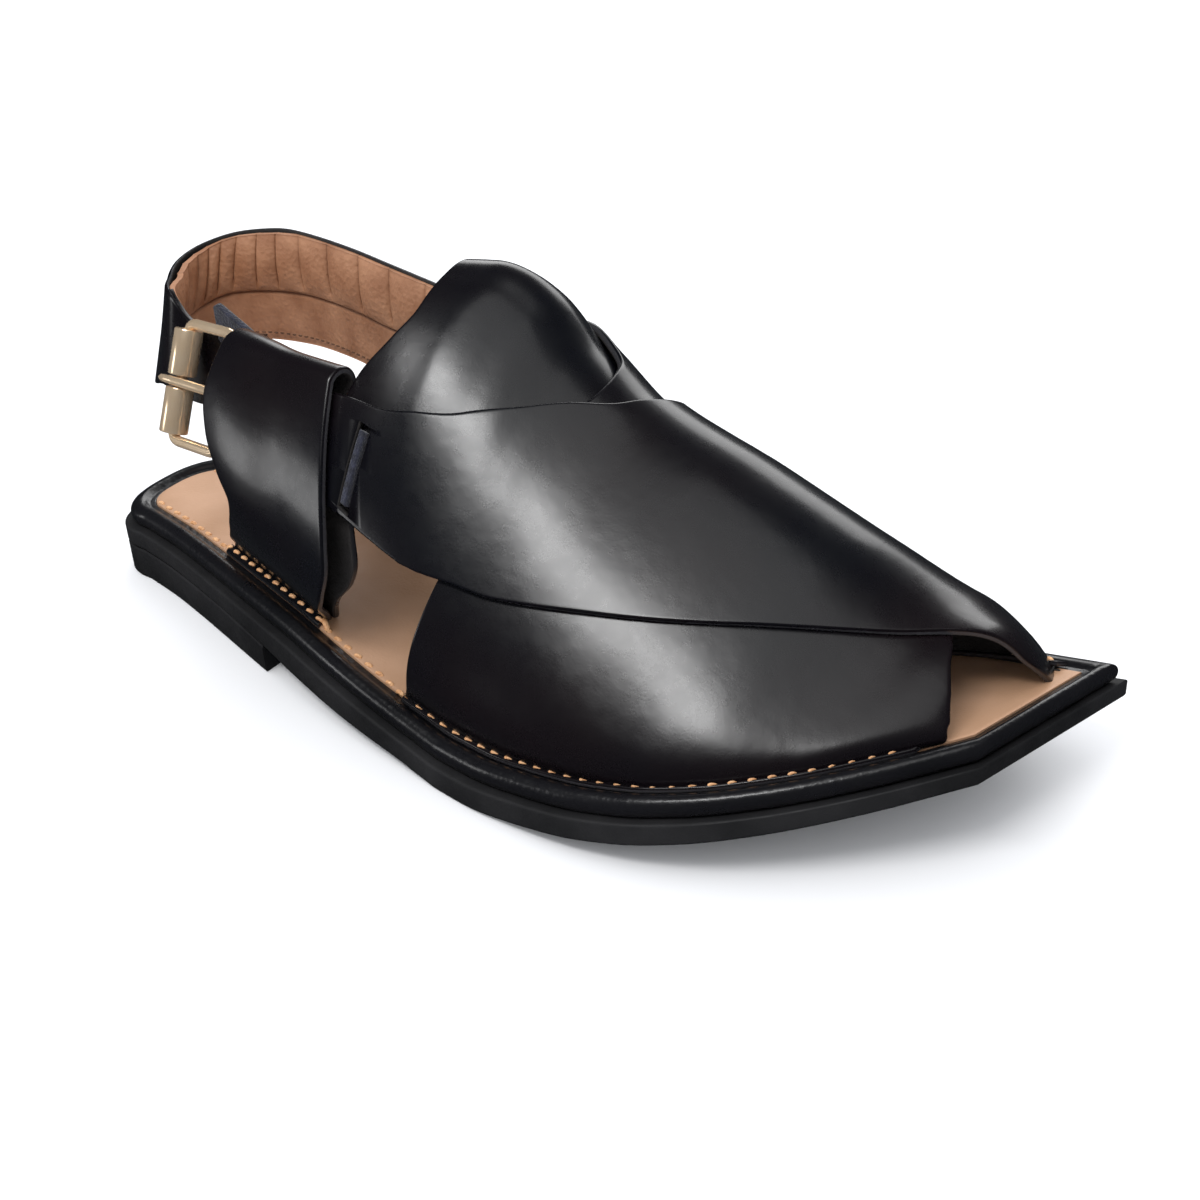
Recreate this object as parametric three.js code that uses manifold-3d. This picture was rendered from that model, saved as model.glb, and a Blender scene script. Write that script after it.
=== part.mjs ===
// A right sandal with two broad crossing straps, a rounded tongue, side loops and a
// buckled heel strap, on a cut-toe sole. Millimetres, toe along +X, outer side at -Y.
import * as THREE from 'three';
import { mergeVertices } from 'three/addons/utils/BufferGeometryUtils.js';
import Module from 'manifold-3d';

const wasm = await Module();
wasm.setup();

// Driving sizes of the shoe
const soleLength = 289;
const ballWidth = 102;
const instepHeight = 109;
const toeSpring = 22.8;
const toeSlant = 0.32;
const heelHeight = 10.2;
const heelBlockLength = 83;
const outsoleThickness = 7.4;
const randHeight = 5.3;
const randSetback = 2.0;
const stripWidth = 3.2;
const stripDrop = 1.4;
const insoleThickness = 2.2;
const leather = 2.1;
const padding = 4.0;
const clearance = 0.3;
const ease = 0.5;
const edgeBevel = 0.8;
const outerHeelRound = 15;
const innerHeelRound = 30;
const heelRoundness = 2.6;
const seatInset = 10.2;

// Buckle sizes
const rollerRadius = 3.9;
const rollerHeight = 28.6;
const rollerSplit = 3.4;
const wireRadius = 1.5;
const frameReach = 20;
const prongWidth = 2.6;
const prongThickness = 1.8;
const skived = 1.3;
const mouth = 2.2;

// Sole plan. at is a share of the sole's length, outer and inner are shares of the ball width.
const plan = [
  { at: 0.053, outer: -0.155, inner: 0.336 },
  { at: 0.100, outer: -0.185, inner: 0.374 },
  { at: 0.150, outer: -0.226, inner: 0.388 },
  { at: 0.200, outer: -0.271, inner: 0.382 },
  { at: 0.251, outer: -0.318, inner: 0.352 },
  { at: 0.301, outer: -0.363, inner: 0.317 },
  { at: 0.351, outer: -0.405, inner: 0.282 },
  { at: 0.418, outer: -0.454, inner: 0.262 },
  { at: 0.484, outer: -0.490, inner: 0.293 },
  { at: 0.551, outer: -0.515, inner: 0.350 },
  { at: 0.618, outer: -0.533, inner: 0.402 },
  { at: 0.685, outer: -0.548, inner: 0.437 },
  { at: 0.752, outer: -0.554, inner: 0.458 },
  { at: 0.802, outer: -0.540, inner: 0.464 },
  { at: 0.852, outer: -0.496, inner: 0.464 },
  { at: 0.902, outer: -0.410, inner: 0.451 },
  { at: 0.952, outer: -0.277, inner: 0.421 },
  { at: 1.000, outer: -0.108, inner: 0.383 },
];

// Sole side. arch is the underside's height as a share of the heel height, thick is a
// share of the outsole's thickness.
const profile = [
  { at: 0.000, arch: 1.000, thick: 0.88 },
  { at: 0.200, arch: 1.000, thick: 0.88 },
  { at: 0.284, arch: 0.890, thick: 1.02 },
  { at: 0.344, arch: 0.680, thick: 1.20 },
  { at: 0.401, arch: 0.480, thick: 1.18 },
  { at: 0.451, arch: 0.330, thick: 1.08 },
  { at: 0.501, arch: 0.190, thick: 0.98 },
  { at: 0.541, arch: 0.070, thick: 0.98 },
  { at: 0.575, arch: 0.000, thick: 1.00 },
  { at: 0.628, arch: 0.000, thick: 1.02 },
  { at: 0.802, arch: 0.000, thick: 0.93 },
  { at: 1.000, arch: 0.000, thick: 0.74 },
];
const springStart = 0.628;
const springCurve = 1.65;

// The last. Shoulders and crown of each section: outward as shares of the ball width,
// upward as shares of the instep height.
const last = [
  { at: 0.200, outerY: -0.215, outerZ: 0.630, crownY: 0.076, crownZ: 0.920, innerY: 0.372, innerZ: 0.800 },
  { at: 0.301, outerY: -0.280, outerZ: 0.615, crownY: 0.085, crownZ: 0.956, innerY: 0.335, innerZ: 0.760 },
  { at: 0.401, outerY: -0.322, outerZ: 0.580, crownY: 0.123, crownZ: 1.000, innerY: 0.310, innerZ: 0.607 },
  { at: 0.451, outerY: -0.355, outerZ: 0.531, crownY: 0.161, crownZ: 1.000, innerY: 0.331, innerZ: 0.593 },
  { at: 0.501, outerY: -0.378, outerZ: 0.469, crownY: 0.180, crownZ: 0.942, innerY: 0.369, innerZ: 0.566 },
  { at: 0.551, outerY: -0.383, outerZ: 0.425, crownY: 0.161, crownZ: 0.832, innerY: 0.374, innerZ: 0.496 },
  { at: 0.601, outerY: -0.388, outerZ: 0.381, crownY: 0.132, crownZ: 0.739, innerY: 0.369, innerZ: 0.434 },
  { at: 0.702, outerY: -0.397, outerZ: 0.336, crownY: 0.123, crownZ: 0.628, innerY: 0.388, innerZ: 0.372 },
  { at: 0.802, outerY: -0.360, outerZ: 0.292, crownY: 0.123, crownZ: 0.513, innerY: 0.388, innerZ: 0.319 },
  { at: 0.885, outerY: -0.246, outerZ: 0.283, crownY: 0.132, crownZ: 0.407, innerY: 0.378, innerZ: 0.301 },
  { at: 0.942, outerY: -0.110, outerZ: 0.301, crownY: 0.142, crownZ: 0.363, innerY: 0.346, innerZ: 0.319 },
  { at: 0.972, outerY: -0.008, outerZ: 0.286, crownY: 0.142, crownZ: 0.292, innerY: 0.303, innerZ: 0.288 },
];

// Strap edges. along runs from the sewn base to the end in the side loop, rear and front
// are shares of the length, and rearTurn and frontTurn go from 0 at the outer base to 1
// at the inner base of the last's section.
const topStrapEdges = [
  { at: 0.00, rear: 0.501, rearTurn: 1.000, front: 0.957, frontTurn: 1.000 },
  { at: 0.15, rear: 0.525, rearTurn: 0.900, front: 0.961, frontTurn: 0.850 },
  { at: 0.30, rear: 0.555, rearTurn: 0.780, front: 0.962, frontTurn: 0.680 },
  { at: 0.42, rear: 0.588, rearTurn: 0.660, front: 0.953, frontTurn: 0.555 },
  { at: 0.52, rear: 0.611, rearTurn: 0.560, front: 0.932, frontTurn: 0.520 },
  { at: 0.62, rear: 0.598, rearTurn: 0.490, front: 0.882, frontTurn: 0.450 },
  { at: 0.72, rear: 0.565, rearTurn: 0.440, front: 0.809, frontTurn: 0.380 },
  { at: 0.82, rear: 0.518, rearTurn: 0.400, front: 0.695, frontTurn: 0.320 },
  { at: 0.90, rear: 0.468, rearTurn: 0.365, front: 0.575, frontTurn: 0.280 },
  { at: 1.00, rear: 0.374, rearTurn: 0.335, front: 0.374, frontTurn: 0.235 },
];
const underStrapEdges = [
  { at: 0.00, rear: 0.481, rearTurn: 0.000, front: 0.957, frontTurn: 0.000 },
  { at: 0.15, rear: 0.511, rearTurn: 0.100, front: 0.960, frontTurn: 0.140 },
  { at: 0.30, rear: 0.525, rearTurn: 0.200, front: 0.958, frontTurn: 0.250 },
  { at: 0.42, rear: 0.538, rearTurn: 0.280, front: 0.946, frontTurn: 0.360 },
  { at: 0.52, rear: 0.558, rearTurn: 0.380, front: 0.929, frontTurn: 0.430 },
  { at: 0.62, rear: 0.578, rearTurn: 0.480, front: 0.875, frontTurn: 0.500 },
  { at: 0.72, rear: 0.568, rearTurn: 0.540, front: 0.802, frontTurn: 0.580 },
  { at: 0.82, rear: 0.535, rearTurn: 0.585, front: 0.695, frontTurn: 0.640 },
  { at: 0.90, rear: 0.484, rearTurn: 0.645, front: 0.575, frontTurn: 0.700 },
  { at: 1.00, rear: 0.374, rearTurn: 0.745, front: 0.374, frontTurn: 0.810 },
];

// Tongue. rear is its free edge's place along the last for each turn of the section.
const tongueEdge = [
  { at: 0.34, rear: 0.470 },
  { at: 0.38, rear: 0.430 },
  { at: 0.46, rear: 0.420 },
  { at: 0.54, rear: 0.425 },
  { at: 0.60, rear: 0.435 },
  { at: 0.645, rear: 0.462 },
];
const tongueFront = 0.640;

// Heel strap from its buckled tip round the heel to the inner loop: lower and upper edge
// lines, along, outward and upward as shares of length, ball width and instep height.
const heelStrapLine = [
  { at: 0.00, lowX: 0.267, lowY: -0.050, lowZ: 0.681, highX: 0.274, highY: 0.010, highZ: 0.867 },
  { at: 0.08, lowX: 0.221, lowY: -0.094, lowZ: 0.602, highX: 0.227, highY: -0.010, highZ: 0.854 },
  { at: 0.16, lowX: 0.174, lowY: -0.126, lowZ: 0.575, highX: 0.177, highY: -0.044, highZ: 0.850 },
  { at: 0.24, lowX: 0.127, lowY: -0.128, lowZ: 0.540, highX: 0.140, highY: -0.076, highZ: 0.850 },
  { at: 0.33, lowX: 0.074, lowY: -0.076, lowZ: 0.504, highX: 0.100, highY: 0.038, highZ: 0.854 },
  { at: 0.41, lowX: 0.040, lowY: 0.047, lowZ: 0.496, highX: 0.075, highY: 0.142, highZ: 0.858 },
  { at: 0.48, lowX: 0.034, lowY: 0.165, lowZ: 0.507, highX: 0.071, highY: 0.231, highZ: 0.870 },
  { at: 0.56, lowX: 0.060, lowY: 0.273, lowZ: 0.529, highX: 0.092, highY: 0.292, highZ: 0.892 },
  { at: 0.64, lowX: 0.112, lowY: 0.325, lowZ: 0.553, highX: 0.129, highY: 0.320, highZ: 0.911 },
  { at: 0.73, lowX: 0.174, lowY: 0.332, lowZ: 0.578, highX: 0.174, highY: 0.326, highZ: 0.922 },
  { at: 0.82, lowX: 0.244, lowY: 0.304, lowZ: 0.586, highX: 0.244, highY: 0.297, highZ: 0.922 },
  { at: 0.91, lowX: 0.311, lowY: 0.270, lowZ: 0.590, highX: 0.311, highY: 0.265, highZ: 0.912 },
  { at: 1.00, lowX: 0.376, lowY: 0.240, lowZ: 0.596, highX: 0.376, highY: 0.236, highZ: 0.900 },
];

// Side loops: a folded sheet, its rear and front edge for each turn up the last.
const loopEdges = [
  { at: 0.00, rear: 0.176, front: 0.358 },
  { at: 0.12, rear: 0.196, front: 0.376 },
  { at: 0.24, rear: 0.209, front: 0.398 },
  { at: 0.36, rear: 0.248, front: 0.406 },
];
const outerLoopTop = 0.350;
const innerLoopTop = 0.280;

// Colours of the pieces
const black = { color: 0x14151b, roughness: 0.32, metalness: 0 };
const rubber = { color: 0x1b1b1d, roughness: 0.75, metalness: 0 };
const tan = { color: 0xc0946a, roughness: 0.55, metalness: 0 };
const gold = { color: 0xd9b878, roughness: 0.3, metalness: 1 };

// Value of one column of a table at a place, on a smooth curve through its rows that
// never overshoots them
function column(table, name, at) {
  const end = table.length - 1;
  const place = Math.min(Math.max(at, table[0].at), table[end].at);
  let row = 0;
  while (row < end - 1 && place > table[row + 1].at) row += 1;
  const grade = (index) => {
    const step = table[index + 1].at - table[index].at;
    return { step, rise: (table[index + 1][name] - table[index][name]) / step };
  };
  const slope = (index) => {
    const back = grade(Math.max(index - 1, 0));
    const ahead = grade(Math.min(index, end - 1));
    if (back.rise * ahead.rise <= 0) return 0;
    const one = 2 * ahead.step + back.step;
    const two = ahead.step + 2 * back.step;
    return (one + two) / (one / back.rise + two / ahead.rise);
  };
  const width = table[row + 1].at - table[row].at;
  const t = (place - table[row].at) / width;
  const rise = table[row + 1][name] - table[row][name];
  const startSlope = slope(row) * width;
  const endSlope = slope(row + 1) * width;
  return table[row][name] + startSlope * t + (3 * rise - 2 * startSlope - endSlope) * t * t
    + (startSlope + endSlope - 2 * rise) * t * t * t;
}

function smooth(from, to, value) {
  const t = Math.min(Math.max((value - from) / (to - from), 0), 1);
  return t * t * (3 - 2 * t);
}

const mix = (a, b, t) => a + (b - a) * t;

// The heel's middle, across
const heelCentre = 0.055 * ballWidth;

// Slant of the stations: none at the heel, toeSlant from the ball forward
const slantAt = (s) => toeSlant * smooth(0.468 * soleLength, 0.702 * soleLength, s);
const place = (s, y, z) => new THREE.Vector3(s + slantAt(s) * (y - 0.085 * ballWidth), y, z);

// Height of the sole's underside, of the outsole's top and of the rand's crest
function underside(s) {
  const at = s / soleLength;
  const rise = Math.max(at - springStart, 0) / (1 - springStart);
  return heelHeight * column(profile, 'arch', at) + toeSpring * rise ** springCurve;
}
const outsoleTop = (s) => underside(s) + outsoleThickness * column(profile, 'thick', s / soleLength);
const crest = (s) => outsoleTop(s) + randHeight;
const insoleTop = (s) => crest(s) - 0.7;

// Outline at a station, set in by a distance measured square to the edge
function sideEdge(s, name, inset) {
  const step = 0.5;
  const y = ballWidth * column(plan, name, s / soleLength);
  const ahead = ballWidth * column(plan, name, (s + step) / soleLength);
  const behind = ballWidth * column(plan, name, (s - step) / soleLength);
  const slope = (ahead - behind) / (2 * step);
  const slant = slantAt(s);
  const alongX = 1 + slant * slope;
  const square = Math.hypot(alongX, slope) / Math.abs(alongX - slope * slant);
  return y + (name === 'outer' ? inset : -inset) * square;
}

function outlineY(s, name, inset) {
  const full = name === 'outer' ? outerHeelRound : innerHeelRound;
  const round = Math.max(full - 0.6 * inset, 0.4 * full);
  const t = Math.min(Math.max((s - inset) / round, 0), 1);
  const swell = (1 - (1 - t) ** heelRoundness) ** (1 / heelRoundness);
  return mix(heelCentre, sideEdge(s, name, inset), swell);
}

// Ring of points round the sole at one inset: outer side forward, inner side back
const toeInsetShare = 0.78;
function ring(inset, height, from, to, count) {
  const start = Math.max(from, inset);
  const end = Math.min(to, soleLength - toeInsetShare * inset * Math.hypot(1, toeSlant));
  const stations = [];
  for (let i = 0; i <= count; i += 1) {
    const t = i / count;
    stations.push(mix(start, end, 0.45 * t + 0.55 * t * t * (1.6 - 0.6 * t)));
  }
  const outer = stations.map((s) => place(s, outlineY(s, 'outer', inset), height(s)));
  const inner = stations.map((s) => place(s, outlineY(s, 'inner', inset), height(s)));
  return { outer, inner };
}

// Closed body through rings of one piece of the sole, the first ring lowest
function layer(levels, from, to, count) {
  const rings = levels.map((level) => ring(level.inset, level.height, from, to, count));
  const points = [];
  const faces = [];
  const size = 2 * (count + 1);
  rings.forEach(({ outer, inner }) => points.push(...outer, ...inner.slice().reverse()));
  for (let level = 0; level < rings.length - 1; level += 1) {
    for (let i = 0; i < size; i += 1) {
      const j = (i + 1) % size;
      const a = level * size;
      faces.push([a + i, a + j, a + size + j], [a + i, a + size + j, a + size + i]);
    }
  }
  const topStart = (rings.length - 1) * size;
  for (let i = 0; i < count; i += 1) {
    const j = size - 1 - i;
    faces.push([i, j, j - 1], [i, j - 1, i + 1]);
    faces.push([topStart + i, topStart + j - 1, topStart + j]);
    faces.push([topStart + i, topStart + i + 1, topStart + j - 1]);
  }
  return geometryFrom(points, faces);
}

function geometryFrom(points, faces) {
  const geometry = new THREE.BufferGeometry();
  const flat = points.flatMap((point) => [point.x, point.y, point.z]);
  geometry.setAttribute('position', new THREE.Float32BufferAttribute(flat, 3));
  geometry.setIndex(faces.flat());
  return withoutSlivers(mergeVertices(geometry, 1e-4));
}

function withoutSlivers(geometry) {
  const index = geometry.getIndex().array;
  const kept = [];
  for (let i = 0; i < index.length; i += 3) {
    const [a, b, c] = [index[i], index[i + 1], index[i + 2]];
    if (a !== b && b !== c && c !== a) kept.push(a, b, c);
  }
  geometry.setIndex(kept);
  return geometry;
}

// Joins and cuts
function toSolid(geometry) {
  const bare = geometry.clone();
  bare.deleteAttribute('normal');
  bare.deleteAttribute('uv');
  const merged = mergeVertices(bare, 1e-4);
  const mesh = new wasm.Mesh({
    numProp: 3,
    vertProperties: new Float32Array(merged.getAttribute('position').array),
    triVerts: new Uint32Array(merged.getIndex().array),
  });
  return new wasm.Manifold(mesh);
}

function toGeometry(solid) {
  const mesh = solid.getMesh();
  const geometry = new THREE.BufferGeometry();
  geometry.setAttribute('position', new THREE.Float32BufferAttribute(mesh.vertProperties, 3));
  geometry.setIndex(new THREE.BufferAttribute(new Uint32Array(mesh.triVerts), 1));
  return geometry;
}

// Value at t of a smooth curve through five evenly spaced knots
function throughFive(knots, t) {
  const bend = [0, 0, 0, 0, 0];
  const pull = [1, 2, 3].map((i) => 96 * (knots[i + 1] - 2 * knots[i] + knots[i - 1]));
  bend[2] = (4 * pull[1] - pull[0] - pull[2]) / 14;
  bend[1] = (pull[0] - bend[2]) / 4;
  bend[3] = (pull[2] - bend[2]) / 4;
  const span = Math.min(Math.floor(t * 4), 3);
  const a = t * 4 - span;
  const b = 1 - a;
  return knots[span] * b + knots[span + 1] * a
    + ((b ** 3 - b) * bend[span] + (a ** 3 - a) * bend[span + 1]) / 96;
}

// Surface of the last at a station and a turn, and the same set off by a distance
const baseInset = 11.1;
function onLast(s, turn) {
  const at = s / soleLength;
  const base = insoleTop(s) + clearance + smooth(0.8, 0.96, at);
  const y = throughFive([
    sideEdge(s, 'outer', baseInset),
    ballWidth * column(last, 'outerY', at),
    ballWidth * column(last, 'crownY', at),
    ballWidth * column(last, 'innerY', at),
    sideEdge(s, 'inner', baseInset),
  ], turn);
  const z = throughFive([
    base,
    instepHeight * column(last, 'outerZ', at),
    instepHeight * column(last, 'crownZ', at),
    instepHeight * column(last, 'innerZ', at),
    base,
  ], turn);
  return place(s, y, z);
}

function offLast(s, turn, distance) {
  const step = 0.6;
  const turnStep = 0.004;
  const ahead = onLast(s + step, turn).sub(onLast(s - step, turn));
  const up = onLast(s, Math.min(turn + turnStep, 1)).sub(onLast(s, Math.max(turn - turnStep, 0)));
  const out = new THREE.Vector3().crossVectors(ahead, up).normalize();
  const foot = Math.min(turn, 1 - turn);
  out.z *= smooth(0, 0.03, foot);
  return onLast(s, turn).addScaledVector(out.normalize(), distance);
}

// Sheet with two faces and four closed rims, from functions of two shares
function sheet(outside, inside, across, along) {
  const points = [];
  const faces = [];
  for (const face of [outside, inside]) {
    for (let i = 0; i <= across; i += 1) {
      for (let j = 0; j <= along; j += 1) points.push(face(i / across, j / along));
    }
  }
  const row = along + 1;
  const back = (across + 1) * row;
  const quad = (a, b, c, d) => faces.push([a, b, c], [a, c, d]);
  for (let i = 0; i < across; i += 1) {
    for (let j = 0; j < along; j += 1) {
      const a = i * row + j;
      quad(a, a + row, a + row + 1, a + 1);
      quad(back + a, back + a + 1, back + a + row + 1, back + a + row);
    }
    const far = i * row + along;
    quad(i * row, back + i * row, back + (i + 1) * row, (i + 1) * row);
    quad(far, far + row, back + far + row, back + far);
  }
  for (let j = 0; j < along; j += 1) {
    const far = across * row + j;
    quad(j, j + 1, back + j + 1, back + j);
    quad(far, back + far, back + far + 1, far + 1);
  }
  return facingOut(geometryFrom(points, faces));
}

// Turns a closed body's faces the right way round
function facingOut(geometry) {
  const at = geometry.getAttribute('position');
  const index = geometry.getIndex().array;
  const corner = [0, 1, 2].map(() => new THREE.Vector3());
  let volume = 0;
  for (let i = 0; i < index.length; i += 3) {
    corner.forEach((point, k) => point.fromBufferAttribute(at, index[i + k]));
    volume += corner[0].dot(corner[1].clone().cross(corner[2]));
  }
  if (volume < 0) {
    for (let i = 0; i < index.length; i += 3) {
      [index[i], index[i + 1]] = [index[i + 1], index[i]];
    }
  }
  return geometry;
}

// Outsole, heel block, midsole with its rand, and insole
const sides = 42;
const outsole = layer([
  { inset: edgeBevel, height: underside },
  { inset: 0, height: (s) => underside(s) + edgeBevel },
  { inset: 0, height: (s) => outsoleTop(s) - 1.2 },
  { inset: edgeBevel, height: (s) => outsoleTop(s) - 0.2 - clearance },
], 0, soleLength, sides);

const heelBlock = layer([
  { inset: edgeBevel, height: () => 0 },
  { inset: 0, height: () => edgeBevel },
  { inset: 0, height: (s) => underside(s) - clearance },
], 0, heelBlockLength, 18);

const stripInset = seatInset - stripWidth;
const midsole = layer([
  { inset: randSetback + 1, height: (s) => outsoleTop(s) - 0.2 },
  { inset: randSetback, height: (s) => outsoleTop(s) + 1.2 },
  { inset: randSetback + 0.2, height: (s) => crest(s) - 2.2 },
  { inset: randSetback + 1.6, height: (s) => crest(s) - 0.6 },
  { inset: randSetback + 3.6, height: crest },
  { inset: stripInset - 0.6, height: (s) => crest(s) - 0.3 },
  { inset: stripInset, height: (s) => crest(s) - stripDrop },
  { inset: seatInset, height: (s) => crest(s) - stripDrop },
  { inset: seatInset + clearance, height: (s) => insoleTop(s) - insoleThickness - clearance },
], 0, soleLength, sides);

const insole = layer([
  { inset: seatInset + 2 * clearance, height: (s) => insoleTop(s) - insoleThickness },
  { inset: seatInset + 2 * clearance, height: (s) => insoleTop(s) - 0.4 },
  { inset: seatInset + 2 * clearance + 0.6, height: insoleTop },
], 0, soleLength, sides);

// Strap on the last between its two edges, raised by lift
function strap(edges, lift, across, along) {
  const face = (distance) => (u, v) => {
    const s = soleLength * mix(column(edges, 'rear', u), column(edges, 'front', u), v);
    const turn = mix(column(edges, 'rearTurn', u), column(edges, 'frontTurn', u), v);
    return offLast(s, turn, distance + lift(s, turn));
  };
  return toSolid(sheet(face(leather), face(0), across, along));
}

// Foot of a piece, turned outward on the rand's strip
function foot(name, from, to, count, thickness) {
  const start = from * soleLength;
  const end = to * soleLength;
  const face = (lift) => (u, v) => {
    const s = mix(start, end, u);
    const inset = mix(baseInset, stripInset + 5 * clearance, v);
    return place(s, sideEdge(s, name, inset), insoleTop(s) + clearance + lift);
  };
  return toSolid(sheet(face(thickness), face(0), count, 1));
}

const crossOver = leather - 0.6;
const noLift = () => 0;
function topLift(s, turn) {
  const at = s / soleLength;
  const inner = 1 - smooth(0.7, 0.88, turn);
  const rear = smooth(0.44, 0.53, at);
  const toe = 1 - smooth(0.92, 0.968, at);
  return crossOver * inner * rear * toe;
}

const underStrap = strap(underStrapEdges, noLift, 24, 10)
  .add(foot('outer', 0.484, 0.952, 22, leather));
const topStrap = strap(topStrapEdges, topLift, 24, 10)
  .add(foot('inner', 0.504, 0.955, 22, leather));

// Slit in the top strap's end, where the buckle strap comes through
const slitAt = 0.421;
const slitWidth = leather + 4 * clearance;
function slitBody(grow, depth, low, high) {
  const face = (edge) => (u, v) => offLast(
    slitAt * soleLength + edge * grow / 2,
    mix(low, high, u),
    mix(-depth, depth, v),
  );
  return toSolid(sheet(face(1), face(-1), 4, 2));
}
const slitLow = 0.252;
const slitHigh = 0.318;
const slit = slitBody(slitWidth, 6, slitLow - 0.004, slitHigh + 0.004);
const upper = toGeometry(underStrap.add(topStrap).subtract(slit));

// Tongue under both straps
function tongueFace(distance) {
  return (u, v) => {
    const turn = mix(tongueEdge[0].at, tongueEdge[tongueEdge.length - 1].at, u);
    const at = mix(column(tongueEdge, 'rear', turn), tongueFront, v);
    return offLast(at * soleLength, turn, distance);
  };
}
const tongue = sheet(tongueFace(-1.7 * ease), tongueFace(-1.7 * ease - leather), 13, 10);

// Space between a side loop's two layers: the outer loop takes the strap's end, the
// buckle strap and the buckle, the inner loop takes a strap's end only
const gapOuter = leather + 2 * ease;
const gapInner = -leather - 3 * ease;
function loopGap(name, turn, v) {
  const open = smooth(0, 0.14, turn);
  if (name === 'outer') {
    const wide = mouth * (1 - smooth(0, 0.42, v)) * smooth(0.1, 0.2, turn);
    return { outer: open * gapOuter + wide + 0.2, inner: open * gapInner - wide - 0.2 };
  }
  return { outer: open * gapOuter * smooth(0.4, 0.78, v) + 0.2, inner: -ease };
}

// Side loop: a sheet folded over the top, from its outer foot to its inner foot
function sideLoop(name) {
  const face = (grow) => (u, v) => {
    const bend = Math.min(Math.max((u - 0.42) / 0.16, 0), 1) * Math.PI;
    const climb = u < 0.5 ? Math.min(u / 0.42, 1) : Math.min((1 - u) / 0.42, 1);
    const turnOne = (name === 'outer' ? outerLoopTop : innerLoopTop) * climb;
    const s = soleLength * mix(column(loopEdges, 'rear', turnOne), column(loopEdges, 'front', turnOne), v);
    const side = name === 'outer' ? 1 : -1;
    const turn = name === 'outer' ? turnOne : 1 - turnOne;
    const gap = loopGap(name, turnOne, v);
    const middle = (gap.outer + gap.inner) / 2;
    const radius = (gap.outer - gap.inner) / 2 + grow;
    const centre = offLast(s, turn, middle);
    const upward = offLast(s, turn + 0.01 * side, middle).sub(centre).normalize();
    return offLast(s, turn, middle + radius * Math.cos(bend)).addScaledVector(upward, radius * Math.sin(bend));
  };
  const folded = toSolid(sheet(face(leather), face(0), 25, 7));
  const edge = loopEdges[0];
  return toGeometry(folded.add(foot(name, edge.rear, edge.front, 8, leather)));
}

// Heel strap, thick round the heel and thin at both ends
function heelStrapPoint(u, v, distance) {
  const spot = (share) => {
    const at = Math.min(Math.max(share, 0), 1);
    const part = (name) => column(heelStrapLine, name, at);
    return new THREE.Vector3(
      soleLength * mix(part('lowX'), part('highX'), v),
      ballWidth * mix(part('lowY'), part('highY'), v),
      instepHeight * mix(part('lowZ'), part('highZ'), v),
    );
  };
  const step = 0.012;
  const ahead = spot(u + step).sub(spot(u - step));
  const up = new THREE.Vector3(0, 0, 1);
  const out = new THREE.Vector3().crossVectors(up, ahead).normalize();
  return spot(u).addScaledVector(out, distance);
}
const heelThickness = (u) => mix(leather, padding, smooth(0.24, 0.34, u) * (1 - smooth(0.66, 0.76, u)));
const heelStrap = sheet(
  (u, v) => heelStrapPoint(u, v, heelThickness(u) / 2),
  (u, v) => heelStrapPoint(u, v, -heelThickness(u) / 2),
  38,
  4,
);

// Buckle: its own frame runs along the strap from the rear bar, and its front bar stands
// in the middle of the outer loop's mouth
const barShare = 0.240;
const barMiddle = (gapOuter + gapInner) / 2;
const barFoot = offLast(barShare * soleLength, 0.222, barMiddle);
const barHead = offLast(barShare * soleLength, 0.338, barMiddle);
const rollerSpot = new THREE.Vector3(0.167 * soleLength, -0.172 * ballWidth, 0.695 * instepHeight);
const barSpot = barFoot.clone().lerp(barHead, 0.5).setZ(rollerSpot.z);
const upright = barHead.clone().sub(barFoot).normalize();
const alongStrap = barSpot.clone().sub(rollerSpot);
alongStrap.addScaledVector(upright, -alongStrap.dot(upright)).normalize();
const across = new THREE.Vector3().crossVectors(upright, alongStrap);
const rollerMiddle = barSpot.clone().addScaledVector(alongStrap, -frameReach);
const buckleSeat = new THREE.Matrix4().makeBasis(alongStrap, across, upright).setPosition(rollerMiddle);

function seated(geometry) {
  geometry.deleteAttribute('normal');
  geometry.deleteAttribute('uv');
  return facingOut(withoutSlivers(mergeVertices(geometry.applyMatrix4(buckleSeat), 1e-4)));
}

// Wire round the buckle, with rounded corners
function frameGeometry() {
  const halfHeight = rollerHeight / 2 + clearance + wireRadius;
  const corners = [
    { along: 0, up: -halfHeight, round: 2 },
    { along: frameReach, up: -halfHeight, round: 3 },
    { along: frameReach, up: halfHeight, round: 3 },
    { along: 0, up: halfHeight, round: 2 },
  ];
  const towards = (from, to, reach) => {
    const step = new THREE.Vector2(to.along - from.along, to.up - from.up).setLength(reach);
    return new THREE.Vector2(from.along, from.up).add(step);
  };
  const chain = corners.flatMap((corner, i) => {
    const start = towards(corner, corners[(i + 3) % 4], corner.round);
    const stop = towards(corner, corners[(i + 1) % 4], corner.round);
    const bend = new THREE.QuadraticBezierCurve(start, new THREE.Vector2(corner.along, corner.up), stop);
    return bend.getPoints(3).map((point) => new THREE.Vector3(point.x, 0, point.y));
  });
  return wire(chain, wireRadius, 8);
}

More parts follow.
